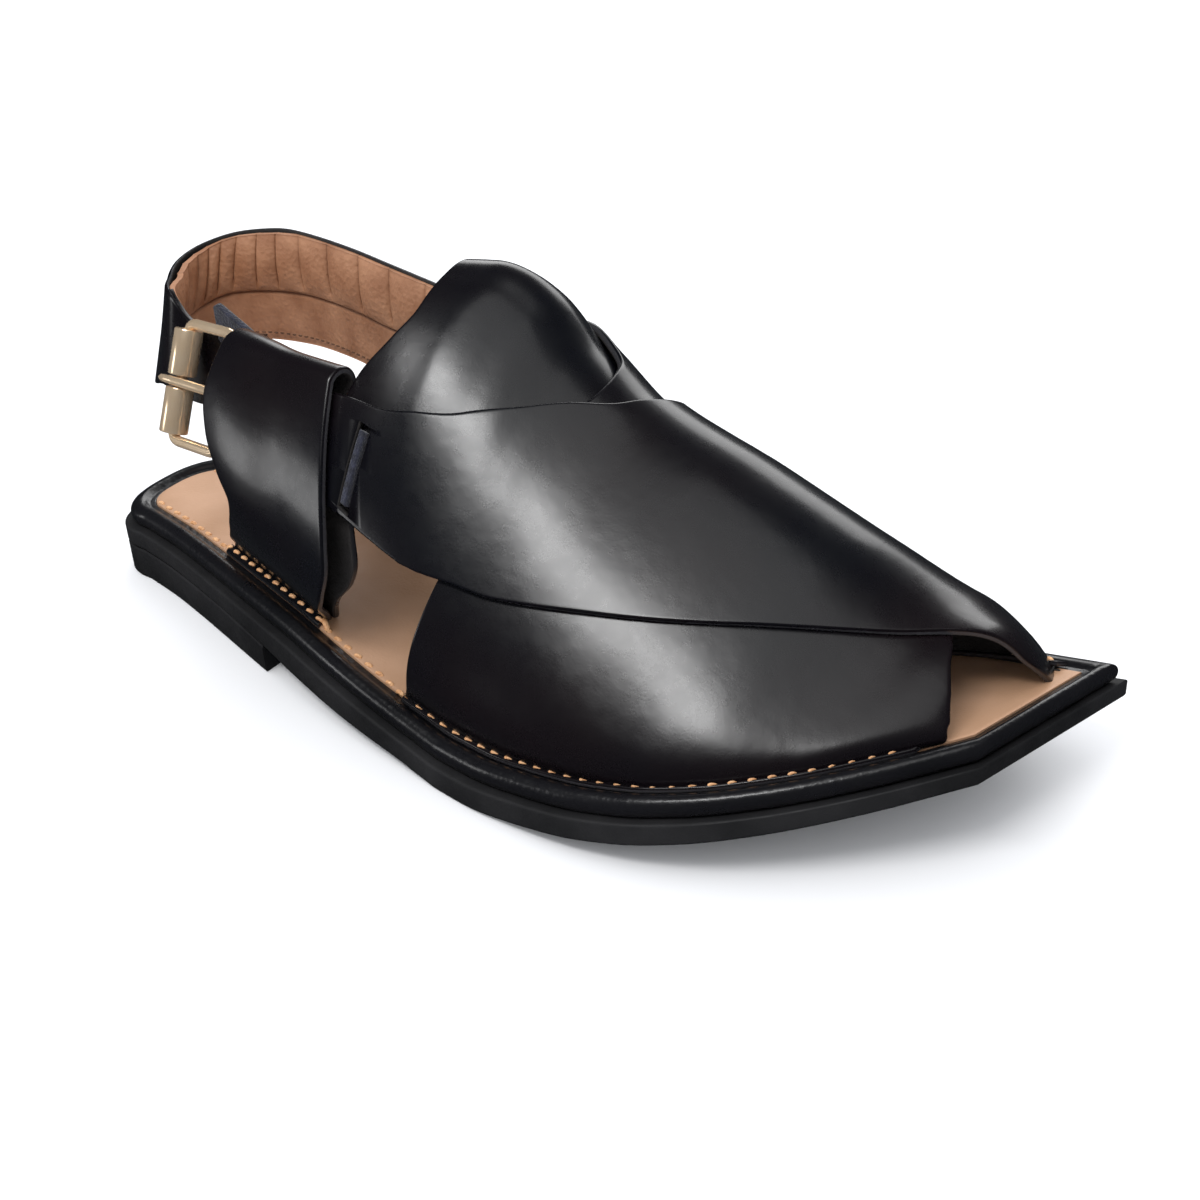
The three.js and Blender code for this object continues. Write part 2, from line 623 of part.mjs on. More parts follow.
// Round wire along a closed chain of points in the plane of the buckle
function wire(chain, radius, around) {
  const points = [];
  const faces = [];
  const count = chain.length;
  const side = new THREE.Vector3(0, 1, 0);
  chain.forEach((point, i) => {
    const ahead = chain[(i + 1) % count].clone().sub(chain[(i + count - 1) % count]).normalize();
    const up = new THREE.Vector3().crossVectors(ahead, side).normalize();
    for (let k = 0; k < around; k += 1) {
      const angle = (k / around) * 2 * Math.PI;
      points.push(point.clone()
        .addScaledVector(side, radius * Math.cos(angle))
        .addScaledVector(up, radius * Math.sin(angle)));
    }
    for (let k = 0; k < around; k += 1) {
      const next = (k + 1) % around;
      const far = ((i + 1) % count) * around;
      faces.push([i * around + k, i * around + next, far + next], [i * around + k, far + next, far + k]);
    }
  });
  return seated(geometryFrom(points, faces));
}

// Half of the roller, a split tube that turns on the rear bar
function rollerHalf(low, high) {
  const bore = wireRadius + clearance;
  const shape = [
    new THREE.Vector2(bore, low),
    new THREE.Vector2(rollerRadius, low),
    new THREE.Vector2(rollerRadius, high),
    new THREE.Vector2(bore, high),
    new THREE.Vector2(bore, low),
  ];
  return seated(new THREE.LatheGeometry(shape, 20).rotateX(Math.PI / 2));
}

// Prong: an eye round the front bar and a blade that lies on the rear bar, in the
// roller's gap
const eyeOuter = wireRadius + clearance + skived;
function prongGeometry() {
  const tip = -rollerRadius - 2.4;
  const onBar = wireRadius + clearance;
  const blade = new THREE.Shape();
  blade.moveTo(frameReach, -eyeOuter);
  blade.absarc(frameReach, 0, eyeOuter, -Math.PI / 2, Math.PI / 2, false);
  blade.lineTo(frameReach - eyeOuter, 0);
  blade.lineTo(frameReach - eyeOuter - 1.5, -eyeOuter + prongThickness);
  blade.lineTo(0, -onBar);
  blade.lineTo(tip, -onBar - 0.6);
  blade.lineTo(tip, -onBar - prongThickness);
  blade.lineTo(0, -onBar - prongThickness);
  const eye = new THREE.Path();
  eye.absarc(frameReach, 0, wireRadius + clearance, 0, 2 * Math.PI, false);
  blade.holes.push(eye);
  const flat = new THREE.ExtrudeGeometry(blade, {
    depth: prongWidth,
    bevelEnabled: false,
    curveSegments: 10,
  });
  return seated(flat.translate(0, 0, -prongWidth / 2));
}

// Buckle strap: folded round the front bar, flat inside the loop, its end out of the slit
const chapeMiddle = -1.6 * ease - leather / 2;
const chapeTurn = (u, v) => mix(mix(0.232, 0.248, u), mix(0.330, 0.322, u), v);
function chapeGeometry() {
  const startAt = barSpot.x + 7;
  const endAt = slitAt * soleLength;
  const face = (side) => (u, v) => offLast(
    mix(startAt, endAt + leather / 2, u),
    chapeTurn(u, v),
    chapeMiddle + (side * leather) / 2,
  );
  const flat = toSolid(sheet(face(1), face(-1), 10, 3));
  const around = new THREE.Shape();
  around.absarc(frameReach, 0, eyeOuter, 0, 2 * Math.PI, false);
  const bore = new THREE.Path();
  bore.absarc(frameReach, 0, wireRadius + clearance, 0, 2 * Math.PI, false);
  around.holes.push(bore);
  const wrapHeight = rollerHeight - 6;
  const wrap = new THREE.ExtrudeGeometry(around, {
    depth: wrapHeight,
    bevelEnabled: false,
    curveSegments: 8,
  });
  const fold = toSolid(seated(wrap.translate(0, 0, -wrapHeight / 2)));
  const joinFace = (side) => (u, v) => {
    const from = new THREE.Vector3(
      frameReach + wireRadius + clearance + skived / 2,
      (side * skived) / 2,
      mix(-0.46, 0.46, v) * wrapHeight,
    ).applyMatrix4(buckleSeat);
    const to = offLast(startAt + 0.6, chapeTurn(0, v), chapeMiddle - (side * skived) / 2);
    return from.lerp(to, u);
  };
  const join = toSolid(sheet(joinFace(-1), joinFace(1), 3, 3));
  const cutter = new THREE.BoxGeometry(3 * eyeOuter, 4 * eyeOuter, prongWidth + 2 * clearance);
  const notch = toSolid(seated(cutter.translate(frameReach, 0, 0)));
  const tab = slitBody(leather, 4.2, slitLow, slitHigh);
  return toGeometry(flat.add(join).add(fold).subtract(notch).add(tab));
}

// The shoe, set with its origin under the middle of its box
const shoe = new THREE.Group();
const halfRoller = (rollerHeight - rollerSplit) / 2;
const pieces = [
  ['outsole', outsole, rubber],
  ['heel_block', heelBlock, rubber],
  ['midsole', midsole, black],
  ['insole', insole, tan],
  ['upper', upper, black],
  ['tongue', tongue, black],
  ['outer_loop', sideLoop('outer'), black],
  ['inner_loop', sideLoop('inner'), black],
  ['heel_strap', heelStrap, black],
  ['buckle_strap', chapeGeometry(), black],
  ['buckle_frame', frameGeometry(), gold],
  ['roller_low', rollerHalf(-rollerHeight / 2, -rollerHeight / 2 + halfRoller), gold],
  ['roller_high', rollerHalf(rollerHeight / 2 - halfRoller, rollerHeight / 2), gold],
  ['prong', prongGeometry(), gold],
];
for (const [name, geometry, finish] of pieces) {
  const mesh = new THREE.Mesh(geometry, new THREE.MeshStandardMaterial(finish));
  mesh.name = name;
  shoe.add(mesh);
}
const box = new THREE.Box3().setFromObject(shoe);
const middle = box.getCenter(new THREE.Vector3());
shoe.position.set(-middle.x, -middle.y, -box.min.z);

export default shoe;
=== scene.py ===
import math

import bpy
import numpy as np
from mathutils import Matrix, Vector


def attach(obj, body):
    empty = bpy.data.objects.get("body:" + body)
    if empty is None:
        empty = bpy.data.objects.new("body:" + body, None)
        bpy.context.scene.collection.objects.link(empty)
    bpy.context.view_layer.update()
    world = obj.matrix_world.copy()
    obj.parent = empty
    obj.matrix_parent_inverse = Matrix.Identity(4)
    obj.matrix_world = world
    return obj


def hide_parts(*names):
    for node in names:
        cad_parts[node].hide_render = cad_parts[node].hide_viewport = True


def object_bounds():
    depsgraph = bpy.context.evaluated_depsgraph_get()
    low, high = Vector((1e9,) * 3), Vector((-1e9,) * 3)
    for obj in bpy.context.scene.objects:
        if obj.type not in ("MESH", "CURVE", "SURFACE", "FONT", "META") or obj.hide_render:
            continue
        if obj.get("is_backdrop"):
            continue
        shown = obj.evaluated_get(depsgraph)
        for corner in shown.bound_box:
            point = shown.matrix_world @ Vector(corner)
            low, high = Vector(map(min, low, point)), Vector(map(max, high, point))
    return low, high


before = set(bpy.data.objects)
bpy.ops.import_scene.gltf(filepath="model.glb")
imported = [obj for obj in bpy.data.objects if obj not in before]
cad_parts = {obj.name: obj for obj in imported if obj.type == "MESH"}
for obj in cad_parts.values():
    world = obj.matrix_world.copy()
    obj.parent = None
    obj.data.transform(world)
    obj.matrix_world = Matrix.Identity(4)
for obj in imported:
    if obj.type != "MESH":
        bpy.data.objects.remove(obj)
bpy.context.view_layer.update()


# The studio: the camera at the photograph's angle to the shoe, a plain pale floor, and
# large soft lights. None of it belongs to the shoe.
view_azimuth = math.radians(35.52)
view_elevation = math.radians(31.59)
view_roll = math.radians(-3.01)
view_distance = 0.4486
view_target = Vector((0.02059, 0.00894, 0.02897))

back = Vector((
    math.sin(view_azimuth) * math.cos(view_elevation),
    -math.cos(view_azimuth) * math.cos(view_elevation),
    math.sin(view_elevation),
))
level = Vector((math.cos(view_azimuth), math.sin(view_azimuth), 0))
above = back.cross(level)
right = level * math.cos(view_roll) + above * math.sin(view_roll)
upward = above * math.cos(view_roll) - level * math.sin(view_roll)
camera_data = bpy.data.cameras.new("camera")
camera_data.sensor_width = 36
camera_data.lens = 51.43
camera_data.clip_start = 0.01
camera = bpy.data.objects.new("camera", camera_data)
bpy.context.scene.collection.objects.link(camera)
turn = Matrix((right, upward, back)).transposed().to_4x4()
camera.matrix_world = Matrix.Translation(view_target + back * view_distance) @ turn
bpy.context.scene.camera = camera
bpy.context.scene.view_settings.view_transform = "Standard"


def add_object(name, mesh, materials=()):
    thing = bpy.data.objects.new(name, mesh)
    bpy.context.scene.collection.objects.link(thing)
    for material in materials:
        mesh.materials.append(material)
    return thing


def new_material(name):
    material = bpy.data.materials.new(name)
    material.use_nodes = True
    nodes = material.node_tree.nodes
    return material, nodes, material.node_tree.links, nodes["Principled BSDF"]


def soft_light(name, place, target, size, power):
    data = bpy.data.lights.new(name, "AREA")
    data.shape = "RECTANGLE"
    data.size, data.size_y = size
    data.energy = power
    light = bpy.data.objects.new(name, data)
    bpy.context.scene.collection.objects.link(light)
    light.location = place
    aim = Vector(target) - Vector(place)
    light.rotation_euler = aim.to_track_quat("-Z", "Y").to_euler()


paper, _, _, paper_shader = new_material("white_paper")
paper_shader.inputs["Base Color"].default_value = (0.86, 0.86, 0.87, 1)
paper_shader.inputs["Roughness"].default_value = 0.9
paper_shader.inputs["Specular IOR Level"].default_value = 0.1
floor_mesh = bpy.data.meshes.new("floor")
floor_mesh.from_pydata([(-9, -9, 0), (9, -9, 0), (9, 9, 0), (-9, 9, 0)], [], [(0, 1, 2, 3)])
floor = add_object("floor", floor_mesh, [paper])
floor.visible_glossy = False
floor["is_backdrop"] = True

soft_light("front_softbox", (-0.03, -0.53, 0.90), (0, 0, 0.05), (0.54, 0.16), 4.1)
soft_light("overhead_softbox", (0.30, -0.20, 1.15), (0, 0, 0.05), (0.8, 0.7), 1.5)
soft_light("rear_softbox", (-0.35, 1.15, 0.70), (0, 0, 0.05), (1.3, 0.6), 7)
soft_light("left_softbox", (-0.95, -0.78, 0.17), (-0.03, 0, 0.04), (0.26, 0.34), 1.0)
world = bpy.data.worlds.new("studio")
bpy.context.scene.world = world
world.use_nodes = True
world_nodes, world_links = world.node_tree.nodes, world.node_tree.links
white_room = world_nodes["Background"]
white_room.inputs["Color"].default_value = (0.95, 0.97, 1, 1)
white_room.inputs["Strength"].default_value = 1.12
dark_room = world_nodes.new("ShaderNodeBackground")
dark_room.inputs["Color"].default_value = (0.75, 0.85, 1, 1)
dark_room.inputs["Strength"].default_value = 0.03
light_path = world_nodes.new("ShaderNodeLightPath")
room = world_nodes.new("ShaderNodeMixShader")
world_links.new(light_path.outputs["Is Glossy Ray"], room.inputs["Fac"])
world_links.new(white_room.outputs["Background"], room.inputs[1])
world_links.new(dark_room.outputs["Background"], room.inputs[2])
world_links.new(room.outputs["Shader"], world_nodes["World Output"].inputs["Surface"])


# Outsole: a black rubber sheet with a cut toe, standing out past the rand, with toe
# spring and a low arch. Heel block: a rubber lift nailed under it.
sole_length = 289.0
ball_width = 102.0
instep_height = 109.0
toe_spring = 22.8
toe_slant = 0.32
heel_height = 10.2
heel_block_length = 83.0
outsole_thickness = 7.4
rand_height = 5.3
outer_heel_round = 15.0
inner_heel_round = 30.0
heel_roundness = 2.6
frame_shift = np.array([149.3634, -4.5672, 0.0])

plan = np.array([
    # at, outer, inner
    (0.053, -0.155, 0.336),
    (0.100, -0.185, 0.374),
    (0.150, -0.226, 0.388),
    (0.200, -0.271, 0.382),
    (0.251, -0.318, 0.352),
    (0.301, -0.363, 0.317),
    (0.351, -0.405, 0.282),
    (0.418, -0.454, 0.262),
    (0.484, -0.490, 0.293),
    (0.551, -0.515, 0.350),
    (0.618, -0.533, 0.402),
    (0.685, -0.548, 0.437),
    (0.752, -0.554, 0.458),
    (0.802, -0.540, 0.464),
    (0.852, -0.496, 0.464),
    (0.902, -0.410, 0.451),
    (0.952, -0.277, 0.421),
    (1.000, -0.108, 0.383),
])
profile = np.array([
    # at, arch, thickness
    (0.000, 1.000, 0.88),
    (0.200, 1.000, 0.88),
    (0.284, 0.890, 1.02),
    (0.344, 0.680, 1.20),
    (0.401, 0.480, 1.18),
    (0.451, 0.330, 1.08),
    (0.501, 0.190, 0.98),
    (0.541, 0.070, 0.98),
    (0.575, 0.000, 1.00),
    (0.628, 0.000, 1.02),
    (0.802, 0.000, 0.93),
    (1.000, 0.000, 0.74),
])


def column(table, name, at, flowing=False):
    """Smooth curve through a table's rows that never overshoots: cubic Hermite pieces
    with weighted harmonic mean slopes, zero where the rise changes sign. A flowing curve
    takes each row's slope from the parabola through its neighbours instead."""
    place, value = table[:, 0], table[:, name]
    step = np.diff(place)
    rise = np.diff(value) / step
    behind = np.concatenate([rise[:1], rise])
    ahead = np.concatenate([rise, rise[-1:]])
    back_step = np.concatenate([step[:1], step])
    next_step = np.concatenate([step, step[-1:]])
    one = 2 * next_step + back_step
    two = next_step + 2 * back_step
    same = behind * ahead > 0
    safe_behind = np.where(same, behind, 1.0)
    safe_ahead = np.where(same, ahead, 1.0)
    slope = np.where(same, (one + two) / (one / safe_behind + two / safe_ahead), 0.0)
    if flowing:
        slope = (behind * next_step + ahead * back_step) / (next_step + back_step)
    at = np.clip(np.asarray(at, float), place[0], place[-1])
    row = np.clip(np.searchsorted(place, at, side="left") - 1, 0, len(step) - 1)
    t = (at - place[row]) / step[row]
    lift = value[row + 1] - value[row]
    first = slope[row] * step[row]
    last_slope = slope[row + 1] * step[row]
    return (value[row] + first * t + (3 * lift - 2 * first - last_slope) * t**2
            + (first + last_slope - 2 * lift) * t**3)


def smooth(start, end, value):
    """0 before start, 1 after end, and 3t^2 - 2t^3 between."""
    t = np.clip((np.asarray(value, float) - start) / (end - start), 0, 1)
    return t * t * (3 - 2 * t)


def mix(a, b, t):
    return a + (b - a) * t


def place_at(s, y, z):
    """Station line: no slant at the heel, toe_slant from the ball forward."""
    slant = toe_slant * smooth(0.468 * sole_length, 0.702 * sole_length, s)
    return np.stack(np.broadcast_arrays(s + slant * (y - 0.085 * ball_width), y, z), -1)


def ground(s):
    return 0 * s


def underside(s):
    """Arch from the table, and toe spring times (share past the ball) to the 1.65."""
    at = s / sole_length
    rise = np.maximum(at - 0.628, 0) / (1 - 0.628)
    return heel_height * column(profile, 1, at) + toe_spring * rise**1.65


def outsole_top(s):
    return underside(s) + outsole_thickness * column(profile, 2, s / sole_length)


def crest(s):
    return outsole_top(s) + rand_height


def insole_top(s):
    return crest(s) - 0.7


def side_edge(s, side, inset):
    """Outline's y at a station, set in by a distance measured square to the edge."""
    which = 1 if side == "outer" else 2
    y = ball_width * column(plan, which, s / sole_length)
    ahead = ball_width * column(plan, which, (s + 0.5) / sole_length)
    behind = ball_width * column(plan, which, (s - 0.5) / sole_length)
    slope = ahead - behind
    slant = toe_slant * smooth(0.468 * sole_length, 0.702 * sole_length, s)
    along = 1 + slant * slope
    square = np.hypot(along, slope) / np.abs(along - slope * slant)
    return y + (inset if side == "outer" else -inset) * square


def outline_y(s, side, inset):
    """The side edge, closed round the heel by a superellipse of power heel_roundness."""
    full = outer_heel_round if side == "outer" else inner_heel_round
    reach = np.maximum(full - 0.6 * inset, 0.4 * full)
    t = np.clip((s - inset) / reach, 0, 1)
    swell = (1 - (1 - t)**heel_roundness)**(1 / heel_roundness)
    return mix(0.055 * ball_width, side_edge(s, side, inset), swell)


def sole_ring(inset, height, start, end, count):
    """Closed ring round the sole: the outer side forward, then the inner side back.
    Stations crowd towards the heel as t to the 1.8."""
    end = np.minimum(end, sole_length - 0.78 * inset * math.hypot(1, toe_slant))
    start = max(start, inset)
    s = start + (end - start) * np.linspace(0, 1, count)**1.8
    outer = place_at(s, outline_y(s, "outer", inset), height(s))
    inner = place_at(s, outline_y(s, "inner", inset), height(s))
    across = np.linspace(0, 1, 14)[1:-1, None]
    toe = outer[-1] + (inner[-1] - outer[-1]) * across
    return np.concatenate([outer, toe, inner[::-1]])


def to_row(points):
    return (points - frame_shift) / 1000


def mesh_from(name, points, faces, sharp=40):
    """Mesh of an array of points in shoe millimetres and lists of faces."""
    mesh = bpy.data.meshes.new(name)
    mesh.from_pydata(to_row(points).tolist(), [], faces)
    mesh.validate()
    mesh.shade_smooth()
    mesh.set_sharp_from_angle(angle=math.radians(sharp))
    return mesh


def grid_faces(rows, columns, start=0, wrap=False):
    """Quads of a grid of points, closed round the columns if wrap is set."""
    count = columns if wrap else columns - 1
    i, j = np.meshgrid(np.arange(rows - 1), np.arange(count), indexing="ij")
    a = start + i * columns + j
    b = start + i * columns + (j + 1) % columns
    return np.stack([a, b, b + columns, a + columns], -1).reshape(-1, 4)


def sole_layer(name, levels, start, end, count):
    """Rings lofted from the lowest to the highest, closed by strips at both ends. A level
    is an inset, a height along the sole and a rise over it."""
    rings = [sole_ring(inset, lambda s: base(s) + rise, start, end, count)
             for inset, base, rise in levels]
    size = len(rings[0])
    faces = grid_faces(len(rings), size, wrap=True).tolist()
    half = size // 2
    low = [[i, size - 1 - i, size - 2 - i, i + 1] for i in range(half - 1)]
    top = (len(rings) - 1) * size
    high = [[top + i, top + i + 1, top + size - 2 - i, top + size - 1 - i]
            for i in range(half - 1)]
    return mesh_from(name, np.concatenate(rings), faces + low + high)


def grain_group():
    """Fine surface relief and slow changes of tone, shared by leather and rubber: the
    height is noise at the pore size plus pits between cells of twice that size."""
    group = bpy.data.node_groups.new("fine_grain", "ShaderNodeTree")
    for label, kind, value in (("Pores per metre", "NodeSocketFloat", 900.0),
                               ("Pit depth", "NodeSocketFloat", 0.5),
                               ("Clouds per metre", "NodeSocketFloat", 22.0)):
        socket = group.interface.new_socket(name=label, in_out="INPUT", socket_type=kind)
        socket.default_value = value
    for label in ("Height", "Clouds", "Rubbing"):
        group.interface.new_socket(name=label, in_out="OUTPUT", socket_type="NodeSocketFloat")
    nodes, links = group.nodes, group.links
    given = nodes.new("NodeGroupInput")
    made = nodes.new("NodeGroupOutput")
    where = nodes.new("ShaderNodeTexCoord")
    fine = nodes.new("ShaderNodeTexNoise")
    fine.inputs["Detail"].default_value = 4
    links.new(where.outputs["Object"], fine.inputs["Vector"])
    links.new(given.outputs["Pores per metre"], fine.inputs["Scale"])
    cells = nodes.new("ShaderNodeTexVoronoi")
    cells.feature = "F1"
    links.new(where.outputs["Object"], cells.inputs["Vector"])
    links.new(given.outputs["Pores per metre"], cells.inputs["Scale"])
    pits = nodes.new("ShaderNodeMath")
    pits.operation = "MULTIPLY_ADD"
    links.new(cells.outputs["Distance"], pits.inputs[0])
    links.new(given.outputs["Pit depth"], pits.inputs[1])
    links.new(fine.outputs["Fac"], pits.inputs[2])
    links.new(pits.outputs[0], made.inputs["Height"])
    clouds = nodes.new("ShaderNodeTexNoise")
    clouds.inputs["Detail"].default_value = 3
    links.new(where.outputs["Object"], clouds.inputs["Vector"])
    links.new(given.outputs["Clouds per metre"], clouds.inputs["Scale"])
    links.new(clouds.outputs["Fac"], made.inputs["Clouds"])
    rubbing = nodes.new("ShaderNodeTexNoise")
    rubbing.inputs["Scale"].default_value = 140
    rubbing.inputs["Detail"].default_value = 6
    rubbing.inputs["Roughness"].default_value = 0.7
    links.new(where.outputs["Object"], rubbing.inputs["Vector"])
    links.new(rubbing.outputs["Fac"], made.inputs["Rubbing"])
    return group


fine_grain = grain_group()


tone_spread = (0.35, 0.68)


def grained(name, dark, light, rough, bump, pores=900.0, pits=0.5, clouds=22.0):
    """Material whose colour drifts between two tones and whose roughness runs between
    two values with the rubbing mask, over the shared fine grain as bump."""
    material, nodes, links, shader = new_material(name)
    grain = nodes.new("ShaderNodeGroup")
    grain.node_tree = fine_grain
    grain.inputs["Pores per metre"].default_value = pores
    grain.inputs["Pit depth"].default_value = pits
    grain.inputs["Clouds per metre"].default_value = clouds
    tone = nodes.new("ShaderNodeMapRange")
    tone.inputs["From Min"].default_value, tone.inputs["From Max"].default_value = tone_spread
    links.new(grain.outputs["Clouds"], tone.inputs["Value"])
    colour = nodes.new("ShaderNodeMix")
    colour.data_type = "RGBA"
    colour.inputs["A"].default_value = (*dark, 1)
    colour.inputs["B"].default_value = (*light, 1)
    links.new(tone.outputs["Result"], colour.inputs["Factor"])
    links.new(colour.outputs["Result"], shader.inputs["Base Color"])
    gloss = nodes.new("ShaderNodeMapRange")
    gloss.inputs["From Min"].default_value = 0.3
    gloss.inputs["From Max"].default_value = 0.7
    gloss.inputs["To Min"].default_value, gloss.inputs["To Max"].default_value = rough
    links.new(grain.outputs["Rubbing"], gloss.inputs["Value"])
    links.new(gloss.outputs["Result"], shader.inputs["Roughness"])
    relief = nodes.new("ShaderNodeBump")
    relief.inputs["Strength"].default_value = bump
    relief.inputs["Distance"].default_value = 0.0003
    links.new(grain.outputs["Height"], relief.inputs["Height"])
    links.new(relief.outputs["Normal"], shader.inputs["Normal"])
    return material, nodes, links, shader


rubber, _, _, rubber_shader = grained(
    "sole_rubber", (0.0085, 0.0085, 0.0095), (0.018, 0.0175, 0.019), (0.5, 0.75), 0.35,
    pores=1400, pits=0.2, clouds=40)
rubber_shader.inputs["Specular IOR Level"].default_value = 0.35

outsole = add_object("outsole_sheet", sole_layer("outsole_sheet", [
    (0.9, underside, 0),
    (0.35, underside, 0.12),
    (0.05, underside, 0.5),
    (0.0, underside, 0.9),
    (0.0, outsole_top, -1.3),
    (0.06, outsole_top, -0.9),
    (0.35, outsole_top, -0.6),
    (0.9, outsole_top, -0.5),
    (4.0, outsole_top, -0.5),
], 0, sole_length, 150), [rubber])
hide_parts("outsole")
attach(outsole, "root")

heel_block = add_object("heel_lift", sole_layer("heel_lift", [
    (0.9, ground, 0),
    (0.3, ground, 0.12),
    (0.0, ground, 0.8),
    (0.0, underside, -0.75),
    (0.45, underside, -0.3),
], 0, heel_block_length, 110), [rubber])
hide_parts("heel_block")
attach(heel_block, "root")


# Midsole: leather wrapped over a filler, so that its edge is a rounded bead above a dark
# groove, with a glossy lip and a narrow crinkled strip between the lip and the insole.
edge_leather, _, _, edge_shader = grained(
    "wrapped_edge_leather", (0.0032, 0.0033, 0.0045), (0.0065, 0.0062, 0.0080), (0.24, 0.42), 0.4,
    pores=700, pits=0.5)
edge_shader.inputs["Coat Weight"].default_value = 0.35
edge_shader.inputs["Coat Roughness"].default_value = 0.18

midsole = add_object("wrapped_edge", sole_layer("wrapped_edge", [
    (4.2, outsole_top, -0.25),
    (3.0, outsole_top, -0.15),
    (2.4, outsole_top, 0.4),
    (2.1, outsole_top, 1.2),
    (2.0, outsole_top, 2.2),
    (2.1, crest, -2.2),
    (2.35, crest, -1.5),
    (2.8, crest, -0.85),
    (3.5, crest, -0.3),
    (4.3, crest, -0.02),
    (5.1, crest, 0),
    (5.8, crest, -0.2),
    (6.4, crest, -0.65),
    (6.9, crest, -1.15),
    (7.5, crest, -1.3),
    (8.2, crest, -1.25),
    (8.7, crest, -1.4),
    (9.0, crest, -2.4),
], 0, sole_length, 170), [edge_leather])
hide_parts("midsole")
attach(midsole, "root")


# Insole: one piece of smooth tan leather, stitched down near its edge.
tan_leather, _, _, _ = grained(
    "tan_insole_leather", (0.43, 0.245, 0.140), (0.54, 0.325, 0.205), (0.42, 0.6), 0.25,
    pores=1100, pits=0.3, clouds=30)

insole = add_object("tan_insole", sole_layer("tan_insole", [
    (9.0, insole_top, -1.6),
    (8.85, insole_top, -0.7),
    (9.0, insole_top, -0.25),
    (9.4, insole_top, -0.05),
    (10.2, insole_top, 0),
], 0, sole_length, 130), [tan_leather])
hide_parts("insole")
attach(insole, "root")


# Upper: two broad straps of polished black leather that cross over the forefoot. The
# under strap starts at the outer side, the top strap at the inner side, and each ends in
# the side loop across from its start.
leather = 2.1
clearance = 0.3
ease = 0.5
base_inset = 11.1
strap_reach = 7.3
loop_reach = 8.5
strap_starts = {"outer": 0.483, "inner": 0.503}
strap_toe = 0.955
loop_span = (0.188, 0.358)
last = np.array([
    # at, outer y, outer z, crown y, crown z, inner y, inner z
    (0.200, -0.215, 0.630, 0.076, 0.920, 0.372, 0.800),
    (0.301, -0.280, 0.615, 0.085, 0.956, 0.335, 0.760),
    (0.401, -0.322, 0.580, 0.123, 1.000, 0.310, 0.607),
    (0.451, -0.355, 0.531, 0.161, 1.000, 0.331, 0.593),
    (0.501, -0.378, 0.469, 0.180, 0.942, 0.369, 0.566),
    (0.551, -0.383, 0.425, 0.161, 0.832, 0.374, 0.496),
    (0.601, -0.388, 0.381, 0.132, 0.739, 0.369, 0.434),
    (0.702, -0.397, 0.336, 0.123, 0.628, 0.388, 0.372),
    (0.802, -0.360, 0.292, 0.123, 0.513, 0.388, 0.319),
    (0.885, -0.246, 0.283, 0.132, 0.407, 0.378, 0.301),
    (0.942, -0.110, 0.301, 0.142, 0.363, 0.346, 0.319),
    (0.972, -0.008, 0.286, 0.142, 0.292, 0.303, 0.288),
])
top_strap_edges = np.array([
    # at, rear, rear turn, front, front turn
    (0.00, 0.501, 1.000, 0.957, 1.000),
    (0.15, 0.525, 0.900, 0.961, 0.850),
    (0.30, 0.555, 0.780, 0.962, 0.680),
    (0.42, 0.588, 0.660, 0.953, 0.555),
    (0.52, 0.611, 0.560, 0.932, 0.520),
    (0.62, 0.600, 0.498, 0.882, 0.448),
    (0.72, 0.567, 0.445, 0.807, 0.381),
    (0.82, 0.520, 0.391, 0.695, 0.318),
    (0.90, 0.466, 0.354, 0.577, 0.278),
    (0.95, 0.420, 0.338, 0.482, 0.252),
    (1.00, 0.374, 0.335, 0.374, 0.235),
])
under_strap_edges = np.array([
    (0.00, 0.481, 0.000, 0.957, 0.000),
    (0.15, 0.511, 0.100, 0.960, 0.140),
    (0.30, 0.525, 0.200, 0.958, 0.250),
    (0.42, 0.538, 0.280, 0.946, 0.360),
    (0.52, 0.558, 0.380, 0.929, 0.430),
    (0.62, 0.578, 0.480, 0.905, 0.500),
    (0.72, 0.568, 0.540, 0.802, 0.580),
    (0.82, 0.535, 0.585, 0.695, 0.640),
    (0.90, 0.484, 0.645, 0.575, 0.700),
    (1.00, 0.374, 0.745, 0.374, 0.810),
])


def through_five(knots, t):
    """Natural cubic spline through five evenly spaced knots."""
    pull = [96 * (knots[i + 1] - 2 * knots[i] + knots[i - 1]) for i in (1, 2, 3)]
    zero = np.zeros_like(pull[0])
    middle = (4 * pull[1] - pull[0] - pull[2]) / 14
    bend = np.stack([zero, (pull[0] - middle) / 4, middle, (pull[2] - middle) / 4, zero])
    value = np.stack(np.broadcast_arrays(*knots))
    value, bend, t = np.broadcast_arrays(value, bend, t)
    t = t[0]
    span = np.clip(np.floor(t * 4), 0, 3).astype(int)
    a = t * 4 - span
    b = 1 - a

    def pick(stack, index):
        return np.take_along_axis(stack, index[None], 0)[0]

    return (pick(value, span) * b + pick(value, span + 1) * a
            + ((b**3 - b) * pick(bend, span) + (a**3 - a) * pick(bend, span + 1)) / 96)


def on_last(s, t):
    """The last at a station and a turn: 0 at the outer base, 0.5 at the crown, 1 at the
    inner base, through the outer and inner shoulders at 0.25 and 0.75."""
    s, t = np.broadcast_arrays(np.asarray(s, float), np.asarray(t, float))
    at = s / sole_length
    base = insole_top(s) + clearance + smooth(0.8, 0.96, at)
    y = through_five([
        side_edge(s, "outer", base_inset),
        ball_width * column(last, 1, at),
        ball_width * column(last, 3, at),
        ball_width * column(last, 5, at),
        side_edge(s, "inner", base_inset),
    ], t)
    z = through_five([
        base,
        instep_height * column(last, 2, at),
        instep_height * column(last, 4, at),
        instep_height * column(last, 6, at),
        base,
    ], t)
    return place_at(s, y, z)


